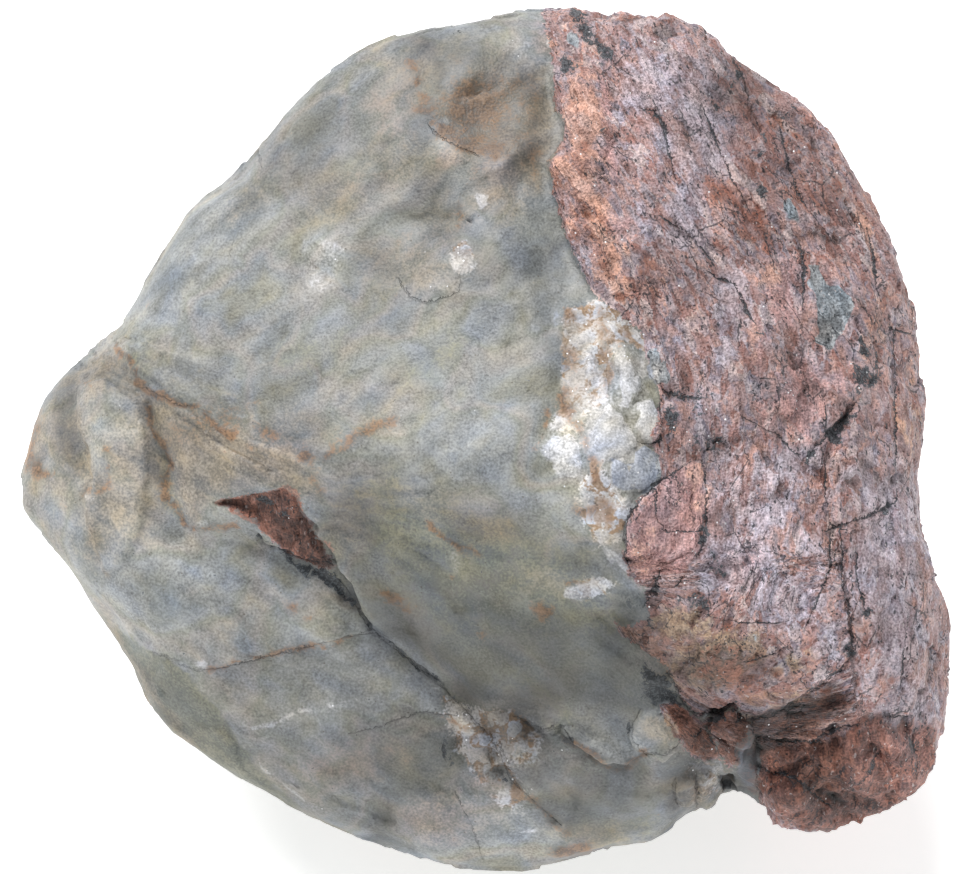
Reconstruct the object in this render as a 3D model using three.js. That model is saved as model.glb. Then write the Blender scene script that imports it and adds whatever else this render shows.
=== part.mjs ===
// A granite boulder crossed by a broad quartz vein: grey quartz on the left, pink granite on
// the right, grown together as one stone. Millimetres, +Z up, the origin on the ground under
// the middle of the stone.
//
// The stone is first laid out as it looks from an eye straight in front of its broad face:
// x runs to the right, y up the face and z out of it. Every surface is then a depth z over a
// place (x, y), so a break face is a plane, a ledge is a change of level across a line, and a
// lump or pit is a small rise or fall. Last, the stone is tipped back onto its foot.

import * as THREE from "three";
import { ImprovedNoise } from "three/addons/math/ImprovedNoise.js";
import { mergeVertices } from "three/addons/utils/BufferGeometryUtils.js";

// Driving dimensions, in mm and degrees.
const FACE_WIDTH = 204.5; // across the broad face, from the blunt nose to the right flank
const EYE_DISTANCE = 700; // the layout is drawn as seen from this far
const TIP_BACK = 40; // how far the broad face is tipped up from level
const FOOT_DEPTH = 90; // from the layout's middle down to the flat of the foot
const RIM_SHARE = 0.45; // the widest contour runs this share of the way to the hidden side,
const RIM_WANDER = 0.24; // give or take this share,
const RIM_WAVE = 45; // in swings this long,
const RIM_PLANE = 3.7; // read from this plane of the noise
const FRONT_BULGE = 66; // how far the uncut stone would swell towards the eye
const FRONT_FULLNESS = 2.6; // 2 is an oval, and more is flatter with steeper sides
const BACK_BULGE = 104; // and away from it
const BACK_FULLNESS = 2.2;
const EDGE_ROUND = 1.6; // rounding where two break faces meet
const BACK_ROUND = 5; // the same on the hidden side
const SUBDIVISIONS = 21; // 20 x (21 + 1)^2 = 9680 triangles
const FRONT_SHARE = 0.6; // of the pole-to-pole angle: the broad face gets the finer mesh

// The widest contour, counter-clockwise from the right flank, on a drawing DRAWN_WIDTH across.
const DRAWN_WIDTH = 204.5;
const OUTLINE = [
  // right flank up to the top
  [97, -0.5], [98, 8], [96.5, 19], [95.5, 27.5], [90, 42.5], [83, 56.5], [75.5, 68.5],
  [70.5, 74], [65.5, 75.5], [64.5, 77], [57.5, 82.5], [49.5, 90], [43, 92.5], [35, 93.5],
  [26.5, 93.5], [17.5, 95], [13.5, 93.5],
  // top down to the nose
  [10, 94.5], [0, 92], [-8, 91], [-25.5, 85.5], [-36.5, 78], [-46.5, 66.5], [-56, 56],
  [-62.5, 51.5], [-66, 46.5], [-73.5, 34.5], [-79, 24.5], [-82.5, 22], [-93.5, 12.5],
  [-96.5, 8], [-99.5, -0.5],
  // nose and along the bottom
  [-101.5, -11.5], [-100.5, -16.5], [-93.5, -25], [-84, -39], [-77, -49.5], [-72, -60.5],
  [-68, -65.5], [-60.5, -70.5], [-45.5, -79.5], [-31.5, -86.5], [-16, -91.5], [-8, -94],
  [8.5, -95], [24.5, -91.5], [32.5, -89.5], [40, -88], [46.5, -82.5], [52, -80.5],
  // the notch, the lower right lobe and back up the flank
  [53.5, -77.5], [58.5, -77.5], [63.5, -81], [68, -86.5], [73.5, -87.5], [79, -86],
  [86, -83], [95, -79], [100.5, -70], [102.5, -59.5], [103, -48], [102.5, -37], [99, -26],
  [97, -16],
];

// Break faces: a plane through a point, rising by `slope` mm per mm to the right and upwards.
const plane = (x, y, z, slopeX, slopeY) => ({ x, y, z, slopeX, slopeY });

const MAIN_BLOCK = [
  plane(0, -4, 47, 0.33, -0.36), // broad quartz face, left part
  plane(10, 0, 48.9, -0.1, -0.42), // broad quartz face, right part
  plane(0, -4, 47, 0.28, 0.5), // shaded quartz face under the crest
  plane(-35.2, -2.9, 35, 0.5, 0.15), // tan face between the crest and the nose
  plane(31, 34.5, 32.3, -0.46, -0.43), // granite flank, upper
  plane(56, -33.7, 42, -0.32, 0.08), // granite flank, lower
  plane(60, -50, 39, -0.1, 0.65), // underside of the granite hump
  plane(81.4, -27, 35, -1.1, 0), // right flank
  plane(17.5, -80, 14, 0.05, 0.9), // bottom edge of the quartz
];
const LOWER_LEFT_BLOCK = [
  plane(-29.7, -35.9, 19.5, 0.12, 0.05), // smooth slab under the crest
  plane(-23, -43, 19.9, 0.12, 0.36), // slab below it, turned down
  plane(-61.6, -55.7, 10.7, 0.7, 0.85), // bevel along the lower left edge
  plane(-11, -79.9, 13, 0, 1), // bevel along the bottom
  plane(-88, -8, 12, 0.9, -0.1), // tip of the nose
  plane(-84, 12, 12, 0.3, -0.8), // top of the nose
];
const RIGHT_BLOCK = [
  plane(81.4, -27, 33, -0.85, 0), // right flank beyond the long groove
  plane(74.8, -57.9, 25, -0.05, 0.62), // underside of the lower right lobe
  plane(92, 20, 4, -1.2, -0.45), // upper end of the flank
  plane(92, -72, 8, -0.9, 0.9), // corner of the lobe
];
const UNDERSIDE = [
  plane(-12, 8, -88, -0.35, 0.5), // back, lower left
  plane(16, 10, -88, 0.4, 0.55), // back, lower right
  plane(-22, 56, -57, -0.6, 1.35), // back, upper left
  plane(28, 55, -68, 0.4, 1.2), // back, upper middle
  plane(52, 45, -72, 1.1, 0.9), // back, upper right
  plane(-66, 15, -62, -1.35, 0.45), // behind the nose
  plane(-48, 38, -54, -0.8, 0.95), // above it
  plane(-58, -25, -60, -1.05, -0.35), // under the nose
  plane(66, 20, -72, 1.5, 0.6), // behind the right flank
  plane(58, -22, -78, 1.05, -0.3), // under the right flank
  plane(-50, -50, -60, -1, -1.3), // under the lower left edge
  plane(-18, -70, -66, -0.3, -2), // under the bottom edge, left
  plane(22, -74, -54, 0.25, -1.6), // under the bottom edge, right
  plane(58, -62, -64, 0.8, -0.9), // under the lobe
  plane(-25, -50, -75.5, -0.45, -0.95), // beside the foot, left
  plane(43, -50, -75.5, 0.5, -0.9), // beside the foot, right
  plane(9, -71, -58, 0.05, -1.35), // before the foot
  plane(9, -29, -93, 0.05, -0.3), // behind the foot
];

// Two blocks meet along a line that runs from rim to rim. The smaller block lies to its right.
const NOSE_PARTING = [
  [-82.5, 22], [-71.5, 5], [-69.5, -10], [-63.5, -20], [-52.5, -19.5], [-45.5, -23.5],
  [-38, -28.5], [-29.7, -36], [-23, -43], [-4.5, -55.5], [4.5, -66.5], [14.5, -80], [18, -96],
];
const LOBE_PARTING = [
  [57, -86], [59, -78], [58.5, -68], [61, -63], [67, -60], [73, -56.5], [77.5, -52.5],
  [81, -47], [81.8, -38], [79.5, -30], [76.5, -18], [75.3, -7], [78, -1], [83, 8], [86, 24],
  [92, 34], [100, 40],
];
const PARTING_WIDTH = 2.6; // how wide the step across a parting or ledge is, on its lower side
// Ledges: the ground to the right of the line lies `drop` lower, and comes back over `reach`.
const LEDGE_END = 8; // over which a ledge fades in and out along its line
const LEDGES = [
  { line: [[48, -69], [37, -69.5], [33, -71.5], [26, -70], [18.5, -65.5], [9, -65.5], [0, -59]],
    drop: 3.6, reach: 26 }, // under the shaded quartz face
  { line: [[35, -45], [43, -58], [50, -62], [59, -62.5]], drop: -3, reach: 10 }, // hump's foot
  { line: [[22, 84], [18, 66], [15.5, 58.5], [21, 39], [26, 30]], drop: 2.2, reach: 16 },
  { line: [[-23, -43], [-40, -48.5], [-52, -50.5], [-61, -50.5]], drop: -1, reach: 14 },
];

// Grooves and ribs: a rounded trough (or rise, where depth is negative) along a line.
const GROOVES = [
  { line: [[-53, -20], [-46, -24], [-39, -29], [-30, -36]], depth: 2.6, width: 2.2 },
  { line: [[-30, -36], [-23, -43], [-4.5, -55.5], [4.5, -66.5]], depth: 1.8, width: 1.8 },
  { line: [[-88, 8], [-86, -6], [-86.5, -14], [-82, -28]], depth: 1.6, width: 3 },
  { line: [[-84, 8], [-82.5, -6]], depth: -1.6, width: 3 },
  { line: [[-80, 21], [-71.5, 5], [-69.5, -10], [-64, -19]], depth: 1.8, width: 2.4 },
  { line: [[80, -48], [81.8, -38], [78.5, -26], [75.5, -8], [83, 8]], depth: 2, width: 2.4 },
  { line: [[48, -61.5], [59, -62], [68, -59.5], [76, -53.5], [81, -47.5]], depth: 3, width: 2.4 },
  { line: [[50, 71], [57, 60], [62, 50], [60, 38]], depth: 1.4, width: 2.6 },
  { line: [[58, 83], [55, 76], [51, 70]], depth: 2.2, width: 2.6 },
  { line: [[68, 70], [70, 56], [71, 46]], depth: 1.4, width: 3 },
  { line: [[70, 34], [71, 14], [68, -4]], depth: 1.2, width: 3 },
  { line: [[31, 34], [37, 24], [39.5, 8], [37, -1], [38.5, -7], [34.5, -14], [31, -30]],
    depth: 1, width: 3 },
  { line: [[39, 82], [44, 62], [49, 44]], depth: 1, width: 3 },
];
// Lumps and pits: height over a round or oval patch, which fades out at its radius.
const LUMPS = [
  { x: 56, y: -36, rx: 27, ry: 24, height: 4 }, // granite hump
  { x: 86, y: -70, rx: 15, ry: 11, height: 4.5 }, // lower right lobe
  { x: 70, y: -78, rx: 9, ry: 8, height: 4 },
  { x: 84, y: -80, rx: 7, ry: 6, height: 2.5 },
  { x: 75, y: -67, rx: 8, ry: 4, height: -2.5 },
  { x: 94, y: -55, rx: 9, ry: 14, height: 2.5 },
  { x: 66, y: -69, rx: 5, ry: 5, height: -2 },
  { x: 45, y: -66, rx: 5.5, ry: 7, height: 3.5 }, // broken granite at the hump's foot
  { x: 54, y: -66, rx: 6, ry: 6.5, height: 5.5 },
  { x: 38.5, y: -65.5, rx: 7, ry: 6, height: 3.5 }, // rounded quartz lump
  { x: 55, y: -76, rx: 8, ry: 9, height: -5 }, // the notch
  { x: 24, y: 68, rx: 9, ry: 26, height: 3 }, // granite lip along the vein
  { x: 28, y: 34, rx: 8, ry: 14, height: 1.5 },
  { x: 31, y: 10, rx: 12, ry: 22, height: 2.2 }, // crystalline patch on the crest
  { x: 37.5, y: 3, rx: 5, ry: 8, height: 1.8 },
  { x: 36, y: -14, rx: 11, ry: 12, height: 1.6 }, // slab of granite beside it
  { x: 0, y: 72, rx: 15, ry: 13, height: -2.6 }, // stained hollow
  { x: 9, y: 64, rx: 7, ry: 9, height: 1.6 },
  { x: -9, y: 36, rx: 10, ry: 7, height: 1.3 },
  { x: -33, y: 42, rx: 9, ry: 8, height: 1.2 },
  { x: -14, y: 50, rx: 14, ry: 20, height: -1.4 },
  { x: -55, y: 30, rx: 22, ry: 26, height: -1.2 },
  { x: -48, y: -34, rx: 18, ry: 12, height: 1.4 },
  { x: -14, y: -66, rx: 22, ry: 13, height: 1.5 },
  { x: 60, y: 56, rx: 15, ry: 18, height: 2 },
  { x: 74, y: 56, rx: 8, ry: 14, height: 2 },
  { x: 62, y: 18, rx: 15, ry: 18, height: 2 },
  { x: 41, y: 91, rx: 5, ry: 3.5, height: -3 }, // pit near the top edge
];

// Roughness: waves of noise, each with its wavelength and height, on the broad face and behind.
const FACE_WAVES = [{ length: 24, height: 1.5 }, { length: 10, height: 0.6 }];
const HIDDEN_WAVES = [{ length: 52, height: 9 }, { length: 24, height: 4.5 },
  { length: 11, height: 1.6 }];
const GRANITE_ROUGHNESS = 1.5; // times the quartz's, to the right of GRANITE_EDGE
const GRANITE_EDGE = 28;
const FLANK_ROUGHNESS = 0.5; // of the hidden side's, on the walls between face and contour

// The granite splits in sheets: shallow ledges, `spacing` apart across the sheets.
const SHEETS = { across: [0.85, 0.2, -0.5], spacing: 13, height: 1.3, hiddenHeight: 3.4,
  wander: 1.3, wanderWave: 40, riser: 0.25 };
const SHEETS_FADE = [-4, 10]; // from the granite's edge: they fade in between these

// Lines that get vertices of their own: those within EDGE_REACH of one are drawn onto it, less
// and less between these two shares of the way out to the contour.
const EDGE_LINES = [NOSE_PARTING, LOBE_PARTING, LEDGES[0].line];
const EDGE_REACH = 1.7;
const EDGE_FADE = [0.76, 0.88];

// How the rings of the mesh pass from the round middle of a side to the contour.
const CONTOUR_GRIP = 5; // powers of the share of the way out: where they take up its turns,
const RELIEF_HOLD = 12; // and where the relief starts to fade
const CONTOUR_STEPS = 900;
const OUTER_BLUR = 3; // steps to either side that the contour is smoothed over: at the rim,
const INNER_BLUR = 24; // for the inner rings,
const RIM_BLUR = 10; // and for its depth
const CONTOUR_MARGIN = 0.994; // the hidden side stays this share of the contour's radius in
const WALL_DEPTH = [2, 12]; // below the break faces: a flank gets its roughness between these
const HIDDEN_DEPTH = [1, 18]; // behind the contour: and so does the hidden side
const MERGE_TOLERANCE = 1e-5; // of the unit ball that the mesh starts from

const noise = new ImprovedNoise();
const DRAWING_SCALE = FACE_WIDTH / DRAWN_WIDTH;

function smoothstep(low, high, value) {
  return THREE.MathUtils.smoothstep(value, low, high);
}

// Nearest point of an open line: the distance, positive to its left, and the run along it.
function nearest(line, x, y) {
  let best = { distance: Infinity, run: 0, side: 1 };
  let run = 0;
  for (let i = 0; i + 1 < line.length; i++) {
    const [ax, ay] = line[i];
    const dx = line[i + 1][0] - ax;
    const dy = line[i + 1][1] - ay;
    const length = Math.hypot(dx, dy);
    const share = THREE.MathUtils.clamp(((x - ax) * dx + (y - ay) * dy) / length ** 2, 0, 1);
    const distance = Math.hypot(x - ax - share * dx, y - ay - share * dy);
    if (distance < best.distance) {
      const side = Math.sign(dx * (y - ay) - dy * (x - ax)) || 1;
      const point = [ax + share * dx, ay + share * dy];
      best = { distance, run: run + share * length, side, point };
    }
    run += length;
  }
  return { ...best, length: run, signed: best.distance * best.side };
}

// The lower (or with sign -1 the upper) envelope of several heights, rounded where they cross.
function envelope(heights, round = EDGE_ROUND, sign = 1) {
  const base = Math.min(...heights.map((h) => sign * h));
  const sum = heights.reduce((s, h) => s + Math.exp((base - sign * h) / round), 0);
  return sign * (base - round * Math.log(sum));
}

const heightOn = (p, x, y) => p.z + p.slopeX * (x - p.x) + p.slopeY * (y - p.y);

function waves(list, x, y, z) {
  return list.reduce(
    (sum, w) => sum + w.height * noise.noise(x / w.length, y / w.length, z / w.length),
    0,
  );
}

// Height of the sheet ledges at a point: a slow rise, then a short drop to the next sheet.
function sheetLedge(x, y, z, height) {
  const [ax, ay, az] = SHEETS.across;
  const phase = (ax * x + ay * y + az * z) / SHEETS.spacing
    + SHEETS.wander * waves([{ length: SHEETS.wanderWave, height: 1 }], x, y, z);
  const along = phase - Math.floor(phase);
  const rise = along < 1 - SHEETS.riser
    ? along / (1 - SHEETS.riser)
    : (1 - along) / SHEETS.riser;
  return height * (rise - 0.5) * smoothstep(...SHEETS_FADE, x - GRANITE_EDGE);
}

// The contour as a ring of values by direction, from a closed smooth curve through OUTLINE.
const contour = new THREE.CatmullRomCurve3(
  OUTLINE.map(([x, y]) => new THREE.Vector3(x, y, 0).multiplyScalar(DRAWING_SCALE)),
  true,
)
  .getPoints(CONTOUR_STEPS)
  .map((p) => ({ angle: Math.atan2(p.y, p.x), value: Math.hypot(p.x, p.y) }))
  .sort((a, b) => a.angle - b.angle);

// A ring with each value averaged over so many steps to either side.
function blurred(ring, steps) {
  return ring.map(({ angle }, i) => {
    let sum = 0;
    for (let k = -steps; k <= steps; k++) {
      sum += ring[(i + k + ring.length) % ring.length].value;
    }
    return { angle, value: sum / (2 * steps + 1) };
  });
}

// A ring's value in a direction.
function around(ring, angle) {
  const after = Math.max(ring.findIndex((step) => step.angle >= angle), 0);
  const high = ring[after];
  const low = ring[(after + ring.length - 1) % ring.length];
  const gap = high.angle - low.angle;
  const share = gap > 0 ? (angle - low.angle) / gap : 0;
  return THREE.MathUtils.lerp(low.value, high.value, share);
}

const outerRadius = blurred(contour, OUTER_BLUR);
const innerRadius = blurred(contour, INNER_BLUR);

// The broad face's break faces over a place, block by block.
function brokenDepth(x, y) {
  const blockDepth = (block) => envelope(block.map((p) => heightOn(p, x, y)));
  const nose = nearest(NOSE_PARTING, x, y);
  const lobe = nearest(LOBE_PARTING, x, y);
  const toNose = 1 - smoothstep(-PARTING_WIDTH, 0, nose.signed);
  const toLobe = 1 - smoothstep(-PARTING_WIDTH, 0, lobe.signed);
  const depth = THREE.MathUtils.lerp(blockDepth(MAIN_BLOCK), blockDepth(LOWER_LEFT_BLOCK), toNose);
  return THREE.MathUtils.lerp(depth, blockDepth(RIGHT_BLOCK), toLobe);
}

const undersideDepth = (x, y) => envelope(UNDERSIDE.map((p) => heightOn(p, x, y)), BACK_ROUND, -1);

// Depth of the widest contour by direction: it runs between the two sides' break faces.
const rimLevels = outerRadius.map(({ angle, value }) => {
  const x = value * Math.cos(angle);
  const y = value * Math.sin(angle);
  const share = RIM_SHARE + RIM_WANDER * noise.noise(x / RIM_WAVE, y / RIM_WAVE, RIM_PLANE);
  return { angle, value: THREE.MathUtils.lerp(brokenDepth(x, y), undersideDepth(x, y), share) };
});
const rimLevel = blurred(rimLevels, RIM_BLUR);

// A swelling that is level over the middle and drops steeply to nothing at the contour.
const swelling = (share, fullness) => Math.sqrt(Math.max(0, 1 - share ** fullness));

// The broad face's depth over a place, `share` of the way out to a contour at depth `rim`.
function frontDepth(x, y, share, rim) {
  let depth = envelope([rim + FRONT_BULGE * swelling(share, FRONT_FULLNESS), brokenDepth(x, y)]);
  for (const ledge of LEDGES) {
    const near = nearest(ledge.line, x, y);
    const fromEnd = Math.min(near.run, near.length - near.run);
    const ends = smoothstep(0, LEDGE_END, fromEnd);
    const below = 1 - smoothstep(-PARTING_WIDTH, 0, near.signed);
    depth -= ledge.drop * below * ends * (1 - smoothstep(0, ledge.reach, near.distance));
  }
  for (const groove of GROOVES) {
    const near = nearest(groove.line, x, y);
    depth -= groove.depth * Math.exp(-((near.distance / groove.width) ** 2));
  }
  for (const lump of LUMPS) {
    const away = Math.hypot((x - lump.x) / lump.rx, (y - lump.y) / lump.ry);
    depth += lump.height * (1 - smoothstep(0, 1, away));
  }
  depth += sheetLedge(x, y, depth, SHEETS.height);
  const rough = x > GRANITE_EDGE ? GRANITE_ROUGHNESS : 1;
  return depth + rough * waves(FACE_WAVES, x, y, 0);
}

// The hidden side's depth: the uncut swelling cut by its own break faces.
function backDepth(x, y, share, rim) {
  const uncut = rim - BACK_BULGE * swelling(share, BACK_FULLNESS);
  return envelope([uncut, undersideDepth(x, y)], BACK_ROUND, -1);
}

// Draws a place that lies close to an edge line onto it, or onto the foot of its step.
function drawnToEdge(x, y, share) {
  let best = { distance: EDGE_REACH + PARTING_WIDTH };
  for (const line of EDGE_LINES) {
    const near = nearest(line, x, y);
    const beside = near.run > 0 && near.run < near.length;
    if (beside && near.distance < best.distance) best = near;
  }
  if (!best.point || best.signed > EDGE_REACH) return [x, y];
  const moved = best.signed > -EDGE_REACH ? 0 : PARTING_WIDTH / best.distance;
  const offset = THREE.MathUtils.lerp(moved, 1, smoothstep(...EDGE_FADE, share));
  return [
    THREE.MathUtils.lerp(best.point[0], x, offset),
    THREE.MathUtils.lerp(best.point[1], y, offset),
  ];
}

// Moves a ball's vertex onto the stone. Its pole faces the eye and its rim is the contour.
// Returns how much of the sides' and underside's roughness belongs there.
function place(vertex) {
  const fromPole = Math.acos(THREE.MathUtils.clamp(vertex.z, -1, 1)) / Math.PI;
  const front = fromPole <= FRONT_SHARE;
  const lean = front
    ? (0.5 * fromPole) / FRONT_SHARE
    : 1 - (0.5 * (1 - fromPole)) / (1 - FRONT_SHARE);
  const share = Math.sin(lean * Math.PI);
  const angle = Math.atan2(vertex.y, vertex.x);
  const contourShare = share ** CONTOUR_GRIP;
  const radius = share
    * THREE.MathUtils.lerp(around(innerRadius, angle), around(outerRadius, angle), contourShare);
  let x = radius * Math.cos(angle);
  let y = radius * Math.sin(angle);
  if (front) [x, y] = drawnToEdge(x, y, share);
  const rim = around(rimLevel, angle);
  const depth = front ? frontDepth(x, y, share, rim) : backDepth(x, y, share, rim);
  const inside = Math.sqrt(1 - share ** RELIEF_HOLD);
  const z = THREE.MathUtils.lerp(rim, depth, inside);
  vertex.set(x, y, z).multiply(new THREE.Vector3(1 - z / EYE_DISTANCE, 1 - z / EYE_DISTANCE, 1));
  if (front) return FLANK_ROUGHNESS * inside * smoothstep(...WALL_DEPTH, brokenDepth(x, y) - z);
  return smoothstep(...HIDDEN_DEPTH, rim - z);
}

// Roughens the sides and the underside along their normals, and keeps them behind the contour.
function roughen(vertex, normal, amount) {
  const { x, y, z } = vertex;
  const relief = waves(HIDDEN_WAVES, x, y, z) + sheetLedge(x, y, z, SHEETS.hiddenHeight);
  vertex.addScaledVector(normal, amount * relief);
  const towardsEye = 1 - vertex.z / EYE_DISTANCE;
  const angle = Math.atan2(vertex.y, vertex.x);
  const widest = CONTOUR_MARGIN * around(outerRadius, angle) * towardsEye;
  const radius = Math.hypot(vertex.x, vertex.y);
  if (radius > widest) vertex.multiply(new THREE.Vector3(widest / radius, widest / radius, 1));
}

function stoneGeometry() {
  const ball = new THREE.IcosahedronGeometry(1, SUBDIVISIONS);
  ball.deleteAttribute("normal");
  ball.deleteAttribute("uv");
  const geometry = mergeVertices(ball, MERGE_TOLERANCE);
  const position = geometry.getAttribute("position");
  const vertex = new THREE.Vector3();
  const hidden = [];
  for (let i = 0; i < position.count; i++) {
    hidden.push(place(vertex.fromBufferAttribute(position, i)));
    position.setXYZ(i, vertex.x, vertex.y, vertex.z);
  }
  geometry.computeVertexNormals();
  const normal = new THREE.Vector3();
  for (let i = 0; i < position.count; i++) {
    if (hidden[i] === 0) continue;
    vertex.fromBufferAttribute(position, i);
    normal.fromBufferAttribute(geometry.getAttribute("normal"), i);
    roughen(vertex, normal, hidden[i]);
    position.setXYZ(i, vertex.x, vertex.y, vertex.z);
  }
  geometry.rotateX(THREE.MathUtils.degToRad(TIP_BACK));
  geometry.translate(0, 0, FOOT_DEPTH);
  // The foot: what would reach below the ground is worn flat.
  for (let i = 0; i < position.count; i++) {
    position.setZ(i, Math.max(0, position.getZ(i)));
  }
  geometry.computeBoundingBox();
  const middle = geometry.boundingBox.getCenter(new THREE.Vector3());
  geometry.translate(-middle.x, -middle.y, 0);
  geometry.computeVertexNormals();
  return geometry;
}

const stoneMaterial = new THREE.MeshStandardMaterial({
  color: new THREE.Color(0.5, 0.45, 0.42),
  roughness: 0.7,
  metalness: 0,
});

const stone = new THREE.Mesh(stoneGeometry(), stoneMaterial);
stone.name = "granite_rock";

const boulder = new THREE.Group();
boulder.add(stone);

export default boulder;
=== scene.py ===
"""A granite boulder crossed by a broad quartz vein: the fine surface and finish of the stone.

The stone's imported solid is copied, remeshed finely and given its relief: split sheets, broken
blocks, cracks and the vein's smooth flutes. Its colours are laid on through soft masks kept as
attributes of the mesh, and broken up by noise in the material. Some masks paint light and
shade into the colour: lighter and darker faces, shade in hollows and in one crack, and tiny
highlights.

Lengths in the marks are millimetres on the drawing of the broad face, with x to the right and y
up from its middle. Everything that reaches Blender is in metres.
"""

import logging
import math
from dataclasses import dataclass, field
from enum import Enum

import bpy
import numpy as np
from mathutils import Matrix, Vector


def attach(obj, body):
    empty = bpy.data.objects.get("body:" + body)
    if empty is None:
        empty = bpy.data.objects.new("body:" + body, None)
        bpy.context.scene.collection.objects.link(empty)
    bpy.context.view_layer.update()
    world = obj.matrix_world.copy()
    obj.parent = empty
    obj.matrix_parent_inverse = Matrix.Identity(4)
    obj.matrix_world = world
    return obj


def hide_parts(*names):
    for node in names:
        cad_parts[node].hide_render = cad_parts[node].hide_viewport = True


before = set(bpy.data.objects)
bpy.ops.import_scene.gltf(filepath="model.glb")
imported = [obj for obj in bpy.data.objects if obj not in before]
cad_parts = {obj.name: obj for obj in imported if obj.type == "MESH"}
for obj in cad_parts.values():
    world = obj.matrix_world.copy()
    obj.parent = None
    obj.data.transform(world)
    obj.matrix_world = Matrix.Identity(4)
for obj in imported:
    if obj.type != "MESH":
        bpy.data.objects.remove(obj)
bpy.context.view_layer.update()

LOG = logging.getLogger("boulder")
NODE = "granite_rock"
MM = 0.001

FAR = 9.0  # farther than any mark or cell that matters, in mm or in widths

Array = np.ndarray
Piece = bpy.types.Object
Span = tuple[float, float]
Points = tuple[Span, ...]
Triple = tuple[float, float, float]
Colour = Triple
Stops = tuple[tuple[float, Colour], ...]  # each a place on a ramp and its colour
Socket = bpy.types.NodeSocket


def smoothstep(low: float, high: float, value: Array) -> Array:
    """Rises smoothly from 0 at `low` to 1 at `high`, which may be the smaller one."""
    share = np.clip((value - low) / (high - low), 0, 1)
    return share * share * (3 - 2 * share)


def blend(low: Array, high: Array, share: Array) -> Array:
    """Goes from `low` to `high` as `share` goes from 0 to 1."""
    return low + (high - low) * share


@dataclass(frozen=True)
class Cells:
    """The irregular cell that each place lies in, one row for each place."""

    near: Array  # the distance to the cell's seed, in cell widths
    gap: Array  # how much farther the next seed is
    chance: Array  # three random numbers for the cell
    offset: Array  # the place relative to the cell's seed

    def tilt(self) -> Array:
        """A slope of its own for each cell, 0 at its seed."""
        return ((self.chance - 0.5) * self.offset).sum(axis=1)


class Grain:
    """Random patterns in space, the same on each run: gradient noise and cells.

    Each call's seed picks one pattern of many, and has only to differ from the other seeds.
    """

    CORNERS = tuple((i, j, k) for i in (0, 1) for j in (0, 1) for k in (0, 1))
    NEIGHBOURS = tuple((i, j, k) for i in (-1, 0, 1) for j in (-1, 0, 1) for k in (-1, 0, 1))
    AXIS_PRIMES = (0x9E3779B1, 0x85EBCA77, 0xC2B2AE3D)
    SEED_PRIME = 0x27D4EB2F
    MIXES = ((15, 0x2C1B3C6D), (12, 0x297A2D39), (15, 1))  # a shift and a factor each
    WORD = 0xFFFFFFFF
    THIRD = 0x3FF  # the highest value of ten bits
    THIRD_SHIFTS = (0, 10, 20)
    FULL_SWING = 1.6  # brings gradient noise to about -1 to 1

    @classmethod
    def scramble(cls, cells: Array, seed: int) -> Array:
        """Mixes whole-number cells into random words.

        Args:
            cells: whole numbers, one row of three for each place.
            seed: the pattern's seed.

        Returns:
            One random 32-bit word for each row.
        """
        word = np.full(len(cells), (seed * cls.SEED_PRIME) & cls.WORD, np.uint32)
        for axis, prime in enumerate(cls.AXIS_PRIMES):
            word ^= cells[:, axis].astype(np.int64).astype(np.uint32) * np.uint32(prime)
            for shift, factor in cls.MIXES:
                word ^= word >> np.uint32(shift)
                word *= np.uint32(factor)
        return word

    @classmethod
    def thirds(cls, word: Array) -> Array:
        """Splits random words into three numbers from 0 to 1 each."""
        parts = [(word >> np.uint32(by)) & np.uint32(cls.THIRD) for by in cls.THIRD_SHIFTS]
        return np.stack(parts, axis=1).astype(np.float32) / cls.THIRD

    @classmethod
    def noise(cls, points: Array, length: float, seed: int) -> Array:
        """Gradient noise, from about -1 to 1.

        Args:
            points: places, one row of three each.
            length: the size of its swells, in the points' units.
            seed: the pattern's seed.

        Returns:
            One value for each place.
        """
        scaled = (points / length).astype(np.float32)
        cell = np.floor(scaled)
        inside = scaled - cell
        fade = inside * inside * inside * (inside * (inside * 6 - 15) + 10)
        total = np.zeros(len(points), np.float32)
        for corner in cls.CORNERS:
            gradient = cls.thirds(cls.scramble(cell + corner, seed)) * 2 - 1
            slope = ((inside - corner) * gradient).sum(axis=1)
            weight = np.where(np.array(corner) == 1, fade, 1 - fade).prod(axis=1)
            total += slope * weight
        return total * cls.FULL_SWING

    @classmethod
    def layered(cls, points: Array, length: float, seed: int, layers: int = 3) -> Array:
        """Noise summed over `layers` octaves, each half as long and half as high as the last."""
        return sum(
            cls.noise(points, length / 2**octave, seed + octave) / 2**octave
            for octave in range(layers)
        )

    @classmethod
    def cells(cls, points: Array, size: float, seed: int) -> Cells:
        """Irregular cells round scattered seeds.

        Args:
            points: places, one row of three each.
            size: a cell's usual width, in the points' units.
            seed: the pattern's seed.

        Returns:
            The cell of each place.
        """
        scaled = (points / size).astype(np.float32)
        home = np.floor(scaled)
        first = np.full(len(points), FAR, np.float32)
        second = np.full(len(points), FAR, np.float32)
        chance = np.zeros((len(points), 3), np.float32)
        offset = np.zeros((len(points), 3), np.float32)
        for step in cls.NEIGHBOURS:
            word = cls.scramble(home + step, seed)
            away = scaled - (home + step + cls.thirds(word))
            distance = np.sqrt((away * away).sum(axis=1))
            nearer = distance < first
            second = np.where(nearer, first, np.minimum(second, distance))
            first = np.where(nearer, distance, first)
            chance[nearer] = cls.thirds(cls.scramble(home[nearer] + step, seed + 1))
            offset[nearer] = away[nearer]
        return Cells(first, second - first, chance, offset)


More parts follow.
